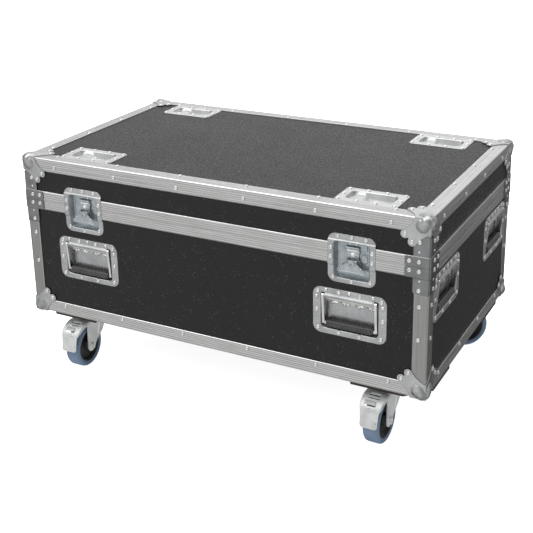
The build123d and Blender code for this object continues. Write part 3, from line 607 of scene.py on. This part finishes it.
def dishSkin(look):
    # A plate with a rolled lip round a tray, seen from its front
    def ring(box, grow, level, growHigh=None):
        radii = [max(radius + grow, leastRadius) for radius in box["radii"]]
        height = box["height"] + 2 * (grow if growHigh is None else growHigh)
        return roundedRing(box["width"] + 2 * grow, height, radii, level, box.get("middle", 0.0))

    plate, opening, skin = pick(look, "plate opening skin")
    face, back, lip, foot, depth, draft = pick(skin, "face back lip foot depth draft")
    rings = [ring(plate, 0, back)]
    rings += [ring(plate, -inset, face - drop) for inset, drop in plateEdge]
    rings += [ring(opening, grow * lip, face - drop * lip) for grow, drop in lipShares]
    for share, rise in footShares:
        growHigh = -skin.get("steep", draft) - share * foot
        rings.append(ring(opening, -draft - share * foot, rise * foot - depth, growHigh))
    return ringLoft(rings)


def mound(width, height, rise):
    # A pressed rib with a rounded crest
    rings = []
    for inset, level in moundShares:
        less = 2 * inset * min(width, height)
        radius = min(width - less, height - less) / 2 * moundRound
        rings.append(roundedRing(width - less, height - less, (radius, radius), level * rise))
    return ringLoft(rings)


def strip(path, half, cuts):
    # A bent sheet from its side: the path is (Y, Z), extruded along X
    bm = bmesh.new()
    verts = [bm.verts.new((-half, y, z)) for y, z in path]
    edges = [bm.edges.new(pair) for pair in zip(verts, verts[1:])]
    for cut in range(cuts):
        edges, verts = extruded(bm, edges)
        bmesh.ops.translate(bm, vec=(2 * half / cuts, 0, 0), verts=verts)
    return bm


# Handle dishes: a stamped plate with a rolled top edge, a tray and a spring cover

handleLook = dict(
    plate=dict(width=158, height=101, radii=(17, 17)), opening=dict(width=121.4, height=76, radii=(3.2, 8)),
    skin=dict(face=-0.3, back=-1.5, lip=3.0, foot=3.5, depth=15, draft=0.8), wall=1.1,
    rivets=bothSides((68, 40.5), (22.5, 44.3), (70.5, 0), (67.5, -39.5), (22.5, -42.8)), rivetLevel=-0.35,
    pressed=dict(size=(4.6, 2.2), level=-0.35, spots=[(0, 45), *bothSides((50, 45), (70.5, 28))]),
    springs=dict(size=(3.4, 2.6), level=-15, spots=bothSides((43, 13), (15, 13))),
)
rollLook = dict(tail=[(40.2, -0.28), (38.4, -0.24), (37.5, 0.5)], level=33, back=-0.9, radius=3.8,
                turns=range(30, 301, 18), half=53, cuts=24, wall=0.9)
coverLook = dict(
    path=[(29.6, -4.6), (28, -3.6), (25.5, -4.0), (23, -5.2), (21.6, -5.6), (20.7, -5.0), (20.4, -4.0)],
    half=54, cuts=54, flat=29.6, run=8.4, down=1.5, out=0.5, pitch=27, ripple=11, wall=0.7,
)
domeShares = ((1, 0), (0.93, 0.35), (0.7, 0.75), (0.38, 0.96), (0, 1))


def handleFrame(name):
    x, y, z = joints["handle_swing_" + name]["pos_m"]
    side = name.split("_")[0]
    return faceFrame(side, dict(front=x, left=-y, right=y)[side], z - rollLook["level"] * mm)


def rollTemplate():
    tail, level, back, radius, turns, half, cuts = pick(rollLook, "tail level back radius turns half cuts")
    turns = [math.radians(angle) for angle in turns]
    path = [(level + radius * math.cos(turn), back + radius * math.sin(turn)) for turn in turns]
    return sheetTemplate(strip(tail + path, half, cuts), "handleRoll")


def coverTemplate():
    look = coverLook
    bm = strip(look["path"], look["half"], look["cuts"])
    for vert in bm.verts:
        share = min((look["flat"] - vert.co.y) / look["run"], 1)
        turn = vert.co.x * math.tau
        wave = math.sin(turn / look["pitch"]) + 0.5 * math.sin(turn / look["ripple"] + 1)
        vert.co.y += look["down"] * wave * share * share
        vert.co.z += look["out"] * wave * share
    return sheetTemplate(bm, "springCover")


def domeTemplate(name, radius, rise):
    return toTemplate(spun([(radius * share, rise * level) for share, level in domeShares], 14), name)


frames = [handleFrame(name) for name in handleNames]
addSheet(sheetTemplate(dishSkin(handleLook), "handleDish"), frames, "handleDishes", ["dishSteel"], "base",
         ["handle_dishes"], handleLook["wall"])
addSheet(rollTemplate(), frames, "handleRolls", ["dishSteel"], "base", wall=rollLook["wall"])
addSheet(coverTemplate(), frames, "springCovers", ["brightSteel"], "base",
         wall=coverLook["wall"])
rivetsOn("handleRivets", "base", onFaces(frames, handleLook["rivets"], handleLook["rivetLevel"]))
domes = [(domeTemplate(name, *look["size"]), onFaces(frames, look["spots"], look["level"]))
         for name, look in (("pressedDome", handleLook["pressed"]), ("springEnd", handleLook["springs"]))]
addPiece(joined(*domes), "handleDomes", "brightSteel", "base", "stamped_steel")
print("stage: handle dishes")


# CAD shapes kept for their form, with their sharp edges broken

backLook = dict(low=(26, 44), slope=-0.762, near=6, push=21, start=53, run=26, least=-34, roof=112,
                cuts=(56 * mm, 55 * mm, 12))


def forkFrame(place):
    # On the floor under the swivel, with local X towards the wheel
    swivel = Vector(joints["castor_swivel_" + place]["pos_m"])
    wheel = Vector(joints["wheel_spin_" + place]["pos_m"])
    forward = Vector((wheel.x - swivel.x, wheel.y - swivel.y, 0)).normalized()
    across = Vector((0, 0, 1)).cross(forward)
    return Matrix.Translation((swivel.x, swivel.y, 0)) @ axesOf(forward, across, (0, 0, 1))


def deeperBack(bm, fork):
    # Widens the legs of a fork behind the wheel, with a rounded back edge; the crown stays clear of the nuts
    (lowX, lowZ), slope, near, push, start, run, least, roof, cuts = pick(
        backLook, "low slope near push start run least roof cuts")
    cutAcross(bm, "z", *cuts)
    for vert in bm.verts:
        spot = fork.inverted() @ vert.co / mm
        if spot.z > start and spot.x < lowX + slope * (spot.z - lowZ) + near:
            spot.x -= push * math.sin(min((spot.z - start) / run, 1) * math.pi / 2)
            if spot.z > roof:
                spot.x = max(spot.x, least)
            vert.co = fork @ (spot * mm)


# The forms are (X, Y, width, height, rise) in front of the hook
hookLook = dict(
    level=-7.7, backLevel=-9.0, thinner=1.0,
    forms=dict(nose=(-0.5, 7.6, 26, 6.4, 4.2), cap=(0.5, 12.1, 23, 5.0, 1.6), bulge=(0.5, -1.6, 15, 13, 5.6)),
)


def thinnerBack(bm):
    # The hook's back stands clear of the keeper's rivets
    for vert in bm.verts:
        if (-halfWidth - vert.co.y) / mm < hookLook["backLevel"]:
            vert.co.y -= hookLook["thinner"] * mm


keptAngles = dict(flat=0.6, sharp=32)


def keptShape(nodeName, pieceName, finishName, edge, slot, body, reshape=None):
    bm = bmesh.new()
    bm.from_mesh(nodes[nodeName].data)
    bmesh.ops.remove_doubles(bm, verts=bm.verts, dist=cadWeld)
    flat = math.radians(keptAngles["flat"])
    bmesh.ops.dissolve_limit(bm, angle_limit=flat, verts=bm.verts, edges=bm.edges)
    if reshape:
        reshape(bm)
    piece = addPiece(bm, pieceName, finishName, body, slot, [nodeName], keptAngles["sharp"])
    finishSheet(piece, 0, edge, keptAngles["sharp"])


for name in handleNames:
    keptShape("handle_bail_" + name, "bail." + name, "brightSteel", 0.9, "bail_steel", "handle_" + name)
keptShape("hinge_base_leaves", "hingeLowerLeaves", "dishSteel", 0.4, "stamped_steel", "base")
keptShape("hinge_lid_leaves", "hingeUpperLeaves", "dishSteel", 0.4, "stamped_steel", "lid")
keptShape("castor_top_plates", "castorTopPlates", "castorZinc", 0.5, "castor_zinc", "base")
for place in castorPlaces:
    body = "castor_fork_" + place
    keptShape(body, "fork." + place, "castorZinc", 0.5, "castor_zinc", body,
              lambda bm: deeperBack(bm, forkFrame(place)))
for side in lengthways:
    body = "latch_rotor_" + side
    keptShape(body, "rotor." + side, "latchZinc", 0.3, "latch_zinc", body)
    body = "latch_hook_" + side
    keptShape(body, "hook." + side, "latchZinc", 0.35, "latch_zinc", body, thinnerBack)

hingeRivets = dict(across=(-28, 0, 28), level=46, height=0.5)
for body, sign in (("lid", 1), ("base", -1)):
    hinges = [faceFrame("rear", x, parting) for x in latchX.values()]
    spots = [(across, sign * hingeRivets["level"]) for across in hingeRivets["across"]]
    rivetsOn(body + "HingeRivets", body, onFaces(hinges, spots, hingeRivets["height"]))
print("stage: bails, forks and hinges")


# Butterfly latches: a joggled plate in two halves round a tray, with wing, hook and keeper

latchLook = dict(
    plate=dict(width=101.5, height=103, radii=(16, 16), middle=-11),
    opening=dict(width=74, height=76, radii=(7, 9), middle=-14),
    skin=dict(face=-0.3, back=-1.5, lip=2.9, foot=1.8, depth=11.5, draft=3.6, steep=0.4), wall=1.1,
    bandTop=26.0, bandLow=-24.5, run=3.2, lift=2.5, deepest=8, cuts=5, slit=0.2, trayLevel=-2.2, axis=-20.5,
    rivetsHigh=[(0, 36, -0.35), *bothSides((29.7, 35.5, -0.35), (43.5, 10, 2.15))],
    rivetsLow=[(0, -56.7, -0.35), *bothSides((39.5, -51.7, -0.35), (43.5, -9, 2.15))],
    keeperRivets=bothSides((6.5, 19.3, -9.8)),
)
latchFaces = {side: faceFrame("front", latchX[side], parting) for side in lengthways}


def latchHalf(name, isLid):
    # The plate lies on the panels and steps out over the band; the tray's depth fades the step out
    top, low, run, lift, cuts, slit = pick(latchLook, "bandTop bandLow run lift cuts slit")
    bm = dishSkin(latchLook)
    cutAcross(bm, "y", top, run, cuts)
    cutAcross(bm, "y", low, -run, cuts)
    cutAcross(bm, "y", slit if isLid else -slit, clear_inner=isLid, clear_outer=not isLid)
    for face in bm.faces:
        face.material_index = 1 if face.calc_center_median().z < latchLook["trayLevel"] else 0
    for vert in bm.verts:
        y, z = vert.co.yz
        gap = y - top if y > 0 else low - y
        fade = clamped(1 + (z - latchLook["skin"]["face"]) / latchLook["deepest"])
        vert.co.z += lift * ramp(1 - gap / run) * fade
    return sheetTemplate(bm, name)


for isLid, nodeName, name, body in ((True, "latch_upper_dishes", "latchUpperDishes", "lid"),
                                    (False, "latch_lower_dishes", "latchLowerDishes", "base")):
    addSheet(latchHalf(name, isLid), latchFaces.values(), name, ["dishSteel", "latchZinc"], body,
             [nodeName], latchLook["wall"])
    spots = latchLook["rivetsHigh" if isLid else "rivetsLow"]
    rivetsOn(name + "Rivets", body, onFaces(latchFaces.values(), spots))

keeperLook = dict(width=58, height=13.5, middle=14.75, level=-11.4,
                  rings=[(0, 0, (3, 1)), (0, 1.2, (3, 1)), (0.8, 1.6, (2.6, 0.7))])


def keeperTemplate():
    width, height, middle, level, rings = pick(keeperLook, "width height middle level rings")
    rings = [roundedRing(width - less, height - less, radii, level + rise, middle)
             for less, rise, radii in rings]
    return sheetTemplate(ringLoft(rings), "keeper")


addSheet(keeperTemplate(), latchFaces.values(), "latchKeepers", ["latchZinc"], "lid",
         ["latch_keepers"])
rivetsOn("keeperRivets", "lid", onFaces(latchFaces.values(), latchLook["keeperRivets"]), smallRivetMesh)

wingLook = dict(
    half=[(9, 9.6), (9, 5.5), (13, 2.5), (17, -1.5), (29.2, -11.5), (30.2, -14), (28, -17.5), (22, -18.2),
          (17, -17.0)],
    back=-0.4, front=1.2, rim=1.6, slope=0.7, sunk=0.9, edge=0.35,
    spots=dict(eyelet=bothSides((19.5, -7.5)), hole=bothSides((25, -13.5)), boss=[(0, 1.2)]),
)
eyeletSizes = dict(eyelet=(3.1, 1.7, 1.3, 1.0), hole=(2.2, 1.6, 0.25, 1.6), boss=(7.6, 2.6, 1.5, 1.8))


def wingTemplate():
    look = wingLook
    outline = [(-x, y) for x, y in reversed(look["half"])] + look["half"]
    bm = ringLoft([[Vector((x, y, level)) for x, y in outline] for level in (look["back"], look["front"])])
    orient(bm)
    front = max(bm.faces, key=lambda face: face.calc_center_median().z)
    bmesh.ops.inset_region(bm, faces=[front], thickness=look["rim"], depth=0)
    bmesh.ops.inset_region(bm, faces=[front], thickness=look["slope"], depth=-look["sunk"])
    return toTemplate(bm, "wing")


def eyeletTemplate(name, outer, inner, rise, depth):
    # A rolled collar round a hole, turned from its section
    profile = [(outer, -0.3), (outer, rise * 0.5), (outer * 0.85, rise), (inner * 1.15, rise),
               (inner, rise * 0.4), (inner * 0.95, -depth), (0, -depth)]
    return toTemplate(spun(profile, 18), name)


eyeletMeshes = {name: eyeletTemplate(name, *size) for name, size in eyeletSizes.items()}


def wingDetails(axis, *kinds):
    level = wingLook["front"] - wingLook["sunk"]
    return joined(*[(eyeletMeshes[kind], onFaces([axis], wingLook["spots"][kind], level)) for kind in kinds])


def hookTemplate():
    forms = []
    for name, (x, y, *size) in hookLook["forms"].items():
        forms.append((toTemplate(mound(*size), name), [Matrix.Translation((x, y, hookLook["level"]))]))
    return sheetTemplate(joined(*forms), "hookHighlightForms")


embossLook = dict(
    place=(23, -8.5, -11.6), rise=1.5, inset=0.2, shares=((0, 0), (0.35, 0.6), (0.7, 0.9), (1, 1)),
    outline=[(0, 10), (-7, 4.5), (-7, -7.5), (-5, -10), (5, -10), (7, -7.5), (7, 4.5)],
)


def embossTemplate():
    # A pressed form with a rounded shoulder on the tray's floor
    look = embossLook
    rings = []
    for share, level in look["shares"]:
        middle = Vector(look["place"]) + Vector((0, 0, look["rise"] * level))
        rings.append([middle + Vector((x, y, 0)) * (1 - share * look["inset"]) for x, y in look["outline"]])
    return sheetTemplate(ringLoft(rings), "trayEmboss")


wingMesh = wingTemplate()
hookMesh = hookTemplate()
for side, face in latchFaces.items():
    body = "latch_wing_" + side
    axis = face @ Matrix.Translation((0, latchLook["axis"] * mm, 0))
    addSheet(wingMesh, [axis], "wing." + side, ["latchZinc"], body, [body], 0, wingLook["edge"])
    addPiece(wingDetails(axis, "eyelet"), "wingEyelets." + side, "brightZinc", body, "latch_zinc")
    addPiece(wingDetails(axis, "boss", "hole"), "wingBoss." + side, "dishSteel", body, "latch_zinc")
    # The hook's pressed forms take the lighter castor zinc rather than the hook's latch zinc: a painted highlight
    addSheet(hookMesh, [face], "hookHighlightForms." + side, ["castorZinc"], "latch_hook_" + side)
addSheet(embossTemplate(), latchFaces.values(), "trayEmbosses", ["latchZinc"], "base")
print("stage: latches")


# Braces: a plate bent round the vertical edge, stepping over the rim

braceLook = dict(
    angle=32.5, band=49.5, bend=4.0, nose=2.5, corner=6, bandCorner=3, foot=0.2, joggle=1.5, proud=1.1,
    sunk=0.1, edge=0.3,
    lid=dict(height=62, bandHeight=20.8, wall=1.25, flat=[(20.5, 50)], raised=[(20.5, 11), (40, 11)],
             dot=(21, 30.5)),
    base=dict(height=56, bandHeight=21.9, wall=1.45, flat=[(20, 48)], raised=[(20, 8.4), (39.5, 8)],
              dot=(19, 28)),
)


def braceTemplate(name, size):
    angle, band, bend, nose, corner, small, foot, joggle, proud = pick(
        braceLook, "angle band bend nose corner bandCorner foot joggle proud")
    height, step, wall = pick(size, "height bandHeight wall")
    narrow, wide = angle - nose + bend, band - nose + bend
    half = quarterRound(wide - small, foot + small, small, -90, 4)
    half += quarterRound(wide - small, step - small, small, 0, 4) + [(narrow, step)]
    half += quarterRound(narrow - corner, height - corner, corner, 0, 4)
    outline = half + [(-across, up) for across, up in reversed(half)]
    bm = bmesh.new()
    bmesh.ops.create_circle(bm, cap_ends=True, segments=len(outline), radius=1)
    for vert, spot in zip(list(bm.verts), outline):
        vert.co = (*spot, 0)
    cutAcross(bm, "x", -bend, 2 * bend, 9)
    cutAcross(bm, "y", step, joggle, 5)
    for vert in bm.verts:
        across, up = vert.co.xy
        turn = math.radians(45 + 45 * clamped(across / bend, -1))
        reach = nose + wall + proud * ramp(1 - (up - step) / joggle)
        x = nose - reach * math.cos(turn) + max(across - bend, 0)
        y = nose - reach * math.sin(turn) + max(-across - bend, 0)
        vert.co = (x, y, up)
    return sheetTemplate(bm, name, (-1, -1, 0))


def cornerPlaces(level, signZ):
    # The frames of the case's corners at a level, each mirrored so that X, Y and Z point into the case
    flips = [(x, y, Matrix.Diagonal((-x, -y, signZ, 1))) for x, y in corners]
    return [Matrix.Translation((x * halfLength, y * halfWidth, level)) @ flip for x, y, flip in flips]


for body, signZ in (("lid", 1), ("base", -1)):
    wall, flat, raised, dot = pick(braceLook[body], "wall flat raised dot")
    template = braceTemplate(body + "Brace", braceLook[body])
    addSheet(template, cornerPlaces(parting, signZ), body + "Braces", ["braceSteel"], body,
             [body + "_corner_braces"], wall - braceLook["sunk"], braceLook["edge"])
    places = cornerSpots(flat, wall, parting, signZ)
    places += cornerSpots(raised, wall + braceLook["proud"], parting, signZ)
    rivetsOn(body + "BraceRivets", body, places)
    rivetsOn(body + "BraceDots", body, cornerSpots([dot], wall, parting, signZ), smallRivetMesh)
print("stage: braces")


# Ball corners: the solid's own form with a larger ball, blended by a voxel skin

ballLook = dict(
    voxel=0.6 * mm, smooth=7, keep=0.16, ears=[(50.5, 36), (36, 50.5)], height=1.45,
    radius=22 * mm, inset=15.6 * mm, seat=1.0 * mm,
)


def ballSolid():
    # A ball that only swells outside the corner's three faces: what lies inside is drawn to the corner
    bm = bmesh.new()
    bmesh.ops.create_icosphere(bm, subdivisions=5, radius=ballLook["radius"])
    bmesh.ops.translate(bm, vec=[ballLook["inset"]] * 3, verts=bm.verts)
    seat = ballLook["seat"]
    inner = [face for face in bm.faces if all(min(vert.co) > seat for vert in face.verts)]
    bmesh.ops.delete(bm, geom=inner, context="FACES")
    for vert in extruded(bm, [edge for edge in bm.edges if edge.is_boundary])[1]:
        vert.co = (seat, seat, seat)
    orient(bm, merge=pieceWeld)
    return toTemplate(bm, "ballSolid")


def ballTemplate():
    bm = bmesh.new()
    bm.from_mesh(nodes["base_ball_corners"].data)
    others = [vert for vert in bm.verts if vert.co.x > 0 or vert.co.y > 0]
    bmesh.ops.delete(bm, geom=others, context="VERTS")
    bmesh.ops.remove_doubles(bm, verts=bm.verts, dist=cadWeld)
    bmesh.ops.translate(bm, vec=(halfLength, halfWidth, -caseBottom), verts=bm.verts)
    bm.from_mesh(ballSolid())
    holder = addToScene("ballHolder", toTemplate(bm, "ballHolder"))
    settled(holder.modifiers.new("skin", "REMESH"), mode="VOXEL", voxel_size=ballLook["voxel"])
    settled(holder.modifiers.new("smooth", "SMOOTH"), iterations=ballLook["smooth"])
    settled(holder.modifiers.new("fewer", "DECIMATE"), ratio=ballLook["keep"])
    shaped = bpy.data.meshes.new_from_object(holder.evaluated_get(bpy.context.evaluated_depsgraph_get()))
    bpy.data.objects.remove(holder)
    return shaped


ballMesh = ballTemplate()
print("stage: ball corner skin,", len(ballMesh.polygons), "faces each")
ears = [(x * (halfLength / mm - across), y * (halfWidth / mm - along))
        for x, y in corners for across, along in ballLook["ears"]]
for body, flatFace, level, signZ in (("base", "bottom", caseBottom, 1), ("lid", "top", caseTop, -1)):
    addSheet(ballMesh, cornerPlaces(level, signZ), body + "BallCorners", ["stampedSteel"], body,
             [body + "_ball_corners"], unit=1)
    places = cornerSpots(ballLook["ears"], ballLook["height"], level, signZ)
    places += onFaces([faceFrame(flatFace, 0, 0)], ears, ballLook["height"])
    rivetsOn(body + "BallRivets", body, places)
print("stage: ball corners")


# Stacking cups in the lid

cupLook = dict(
    plate=dict(width=133, height=77, radii=(7, 7)), opening=dict(width=97, height=47, radii=(12, 12)),
    skin=dict(face=0.0, back=-1.5, lip=2.6, foot=3.0, depth=14, draft=2.6), wall=1.1, onPlate=-0.05,
    stepEnd=-24, stepRun=17.0, stepLevel=-6, cuts=9,
    rivets=bothSides((59, -31.5), (59, 31.5), (20, -32), (20, 32), (60, 0)),
)


def cupTemplate():
    end, run, level, cuts, skin = pick(cupLook, "stepEnd stepRun stepLevel cuts skin")
    bm = dishSkin(cupLook)
    cutAcross(bm, "x", end, run, cuts)
    for vert in bm.verts:
        share = ramp((end + run - vert.co.x) / run)
        vert.co.z = max(vert.co.z, level * share - skin["depth"] * (1 - share))
    return sheetTemplate(bm, "stackingCup")


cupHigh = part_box("stacking_cups")[1]
cupX = cupHigh.x - cupLook["plate"]["width"] / 2 * mm
cupY = cupHigh.y - cupLook["plate"]["height"] / 2 * mm
cupFaces = [faceFrame("top", signX * cupX, signY * cupY) for signX, signY in corners]
addSheet(cupTemplate(), cupFaces, "stackingCups", ["cupSteel"], "lid", ["stacking_cups"],
         cupLook["wall"])
rivetsOn("cupRivets", "lid", onFaces(cupFaces, cupLook["rivets"], cupLook["onPlate"]))
print("stage: stacking cups")


# Castor details: pressed ribs on the forks and the brake pedals' bent sheets

ribLook = dict(size=(15, 46, 1.8), level=88, face=23.0, lean=22)
pedalLook = dict(
    route=[(40, 114.5), (58, 115), (78, 108.5), (90, 97), (92.5, 80), (96.5, 58)], round=7, steps=96, rows=54,
    halfTop=23.2, halfToe=18.8, narrow=(20, 80), bend=2.5, flange=4.6, fade=(46, 66), toeCorner=6,
    sheetLift=0.6, wall=1.9, edge=0.3, slots=[(13, 22.5, 12, 0), (28, 31, 13, 0), (46, 48.2, 12, -2)],
    holes=[(-13.5, 15), (-13.5, -15)], holeRadius=1.2,
    louver=dict(start=36, end=46, half=12, middle=-2, rise=3.2),
    oval=dict(place=(56, 1), half=(3.6, 10), rise=2.2, steepness=2.2),
)
pinSize = dict(radius=2.8, half=26, nose=(0.8, 0.98), steps=20)


def forkRibs(place):
    places = []
    for sign in (-1, 1):
        turn = axesOf((-sign, 0, 0), (0, 0, 1), (0, sign, 0))
        spot = Matrix.Translation((0, sign * ribLook["face"] * mm, ribLook["level"] * mm))
        lean = Matrix.Rotation(math.radians(-sign * ribLook["lean"]), 4, "Z")
        places.append(forkFrame(place) @ spot @ turn @ lean)
    return places


ribMesh = sheetTemplate(mound(*ribLook["size"]), "forkRib")
for place in castorPlaces:
    addSheet(ribMesh, forkRibs(place), "forkRibs." + place, ["castorZinc"], "castor_fork_" + place)

pedalRoute = [Vector(point) for point in pedalLook["route"]]
pedalLength = sum((end - start).length for start, end in zip(pedalRoute, pedalRoute[1:]))


def routeSpot(along):
    # A point on the pedal's route; its bends are rounded by averaging nearby points
    spots = []
    for offset in (-1, -0.5, 0, 0.5, 1):
        left = along + offset * pedalLook["round"]
        for start, end in zip(pedalRoute, pedalRoute[1:]):
            reach = (end - start).length
            if left <= reach or end == pedalRoute[-1]:
                break
            left -= reach
        spots.append(start.lerp(end, left / reach))
    return sum(spots, Vector((0, 0))) / len(spots)


def pedalSection(along, share):
    # Across the sheet: flat, then a bend and a side flange that fade out towards the toe
    top, toe, narrow, bend, flange, fade, corner = pick(
        pedalLook, "halfTop halfToe narrow bend flange fade toeCorner")
    left = ramp((fade[1] - along) / (fade[1] - fade[0]))
    flat = toe + (top - toe) * clamped((narrow[1] - along) / (narrow[1] - narrow[0]))
    bend *= left
    arc = bend * math.pi / 2
    total = flat + arc + flange * left
    beyond = along - pedalLength + corner
    if beyond > 0:
        total -= corner - math.sqrt(max(corner ** 2 - beyond ** 2, 0))
    reach = abs(share) * total
    side = min(reach, flat)
    drop = 0
    if reach > flat and bend > 0:
        turn = min((reach - flat) / bend, math.pi / 2)
        side += bend * math.sin(turn)
        drop = bend * (1 - math.cos(turn)) + max(reach - flat - arc, 0)
    return math.copysign(side, share), drop


def isOpen(along, side):
    # Whether a spot on the sheet lies in one of its slots or round holes
    look = pedalLook
    slots = [start < along < end and abs(side - middle) < half for start, end, half, middle in look["slots"]]
    holes = [math.hypot(along - pedalLength - x, side - y) < look["holeRadius"] for x, y in look["holes"]]
    return any(slots + holes)


def pedalRise(along, side):
    start, end, half, middle, rise = pick(pedalLook["louver"], "start end half middle rise")
    onLouver = start < along < end + 0.1 and abs(side - middle) < half
    louver = rise * (along - start) / (end - start) if onLouver else 0
    (x, y), (halfX, halfY), rise, steepness = pick(pedalLook["oval"], "place half rise steepness")
    far = math.hypot((along - x) / halfX, (side - y) / halfY)
    return louver + rise * clamped((1 - far) * steepness)


def pedalTemplate():
    look = pedalLook
    bm = bmesh.new()
    bmesh.ops.create_grid(bm, x_segments=look["steps"], y_segments=look["rows"], size=0.5)
    bmesh.ops.scale(bm, vec=(pedalLength, 2, 1), verts=bm.verts)
    bmesh.ops.translate(bm, vec=(pedalLength / 2, 0, 0), verts=bm.verts)
    cut = []
    for face in bm.faces:
        along, share = face.calc_center_median().xy
        if isOpen(along, pedalSection(along, share)[0]):
            cut.append(face)
    bmesh.ops.delete(bm, geom=cut, context="FACES")
    for vert in bm.verts:
        along, share = vert.co.xy
        side, drop = pedalSection(along, share)
        ahead = routeSpot(min(along + 0.5, pedalLength)) - routeSpot(max(along - 0.5, 0))
        normal = Vector((-ahead.y, ahead.x)).normalized()
        spot = routeSpot(along) + normal * (look["sheetLift"] - drop + pedalRise(along, side))
        vert.co = (spot.x, side, spot.y)
    return sheetTemplate(bm, "pedalSheet", (1, 0, 0.3))


def pinProfile():
    radius, half, (narrow, short) = pick(pinSize, "radius half nose")
    return mirroredProfile([(0, -half), (radius * narrow, -half), (radius, -half * short)])


pedalMesh = pedalTemplate()
for place in castorPlaces[:2]:
    body = "brake_pedal_" + place
    pin = pick(joints["brake_pedal_press_" + place], "pos_m axis")
    addSheet(pedalMesh, [forkFrame(place)], "pedalSheet." + place, ["pedalZinc"], body, [body],
             pedalLook["wall"], pedalLook["edge"])
    addTurned(pinProfile(), pinSize["steps"], pin, "pedalPin." + place, "castorZinc", body, "castor_zinc")
print("stage: castor details")


# Floor, light and camera

cameraLook = dict(place=(1.0459, -1.9913, 1.1875), turn=(71.672, 0.967, 27.608), lens=69.920, sensor=36,
                  shiftY=-0.1689)


def makeCamera():
    look = cameraLook
    data = bpy.data.cameras.new("camera")
    camera = addToScene("camera", data)
    settled(data, lens=look["lens"], sensor_width=look["sensor"], shift_y=look["shiftY"])
    camera.location = look["place"]
    camera.rotation_euler = [math.radians(angle) for angle in look["turn"]]
    bpy.context.scene.camera = camera


floorLook = dict(size=60, glow=0.85, dark=(0.84, 0.84, 0.84), light=(0.86, 0.86, 0.86), blotch=3.0,
                 roughness=0.9, specular=0.2)


def makeFloor():
    look = floorLook
    bm = bmesh.new()
    bmesh.ops.create_grid(bm, x_segments=1, y_segments=1, size=look["size"] / 2)
    mesh = toTemplate(bm, "floor")
    material, tree, shader, place = startMaterial("paleFloor", 0.0, look["specular"])
    tone = blendColors(noise(place, look["blotch"]), look["dark"], look["light"])
    connect(shader, {"Base Color": tone, "Roughness": look["roughness"], "Emission Color": (1, 1, 1, 1),
                     "Emission Strength": look["glow"]})
    mesh.materials.append(material)
    floor = addToScene("floor", mesh)
    floor.visible_glossy = False  # metal mirrors the studio's lamps and flags, not the floor


lobes = (
    dict(aim=(-0.1, -0.2, 1.0), sharp=7.0, bright=2.6),  # softbox overhead
    dict(aim=(-0.2, 0.8, 0.5), sharp=3.0, bright=1.1),  # broad light behind
    dict(aim=(-0.6, -0.75, 0.3), sharp=3.0, bright=0.4),  # softer light from the front left
    dict(aim=(-0.2, -0.88, -0.43), sharp=3.0, bright=0.5),  # bounce from below the front
    dict(aim=(0.95, 0.2, -0.25), sharp=5.0, bright=0.45),  # fill from the right
    dict(aim=(0.25, 0.87, -0.42), sharp=6.0, bright=-0.33),  # dark flag low behind the right end
)
skyLow = 0.33
skyLeast = 0.02


def makeSky():
    # A studio of broad soft lights, as lobes of brightness round the case
    world = bpy.data.worlds.new("studio")
    world.use_nodes = True
    tree = world.node_tree
    background = tree.nodes["Background"]
    connect(background, {"Color": (1, 1, 1, 1)})
    view = addNode(tree, "ShaderNodeTexCoord", {}).outputs["Generated"]
    glows = []
    for lobe in lobes:
        aim = Vector(lobe["aim"]).normalized()
        facing = addNode(tree, "ShaderNodeVectorMath", {0: view, 1: aim}, operation="DOT_PRODUCT")
        glow = calc("POWER", calc("MAXIMUM", facing.outputs["Value"], 0.0), lobe["sharp"])
        glows.append(calc("MULTIPLY", glow, lobe["bright"]))
    connect(background, {"Strength": calc("MAXIMUM", calc("ADD", *glows, skyLow), skyLeast)})
    bpy.context.scene.world = world


keyLook = dict(place=(-2.2, -2.6, 3.4), target=(0, 0, 0.3), size=2.6, power=35)


def makeKeyLight():
    data = bpy.data.lights.new("softKey", "AREA")
    settled(data, shape="SQUARE", size=keyLook["size"], energy=keyLook["power"])
    light = addToScene("softKey", data)
    light.location = keyLook["place"]
    aim = Vector(keyLook["target"]) - Vector(keyLook["place"])
    light.rotation_euler = aim.to_track_quat("-Z", "Y").to_euler()


makeCamera()
makeFloor()
makeSky()
makeKeyLight()
bpy.context.scene.view_settings.view_transform = "Standard"
print("stage: floor, light and camera")
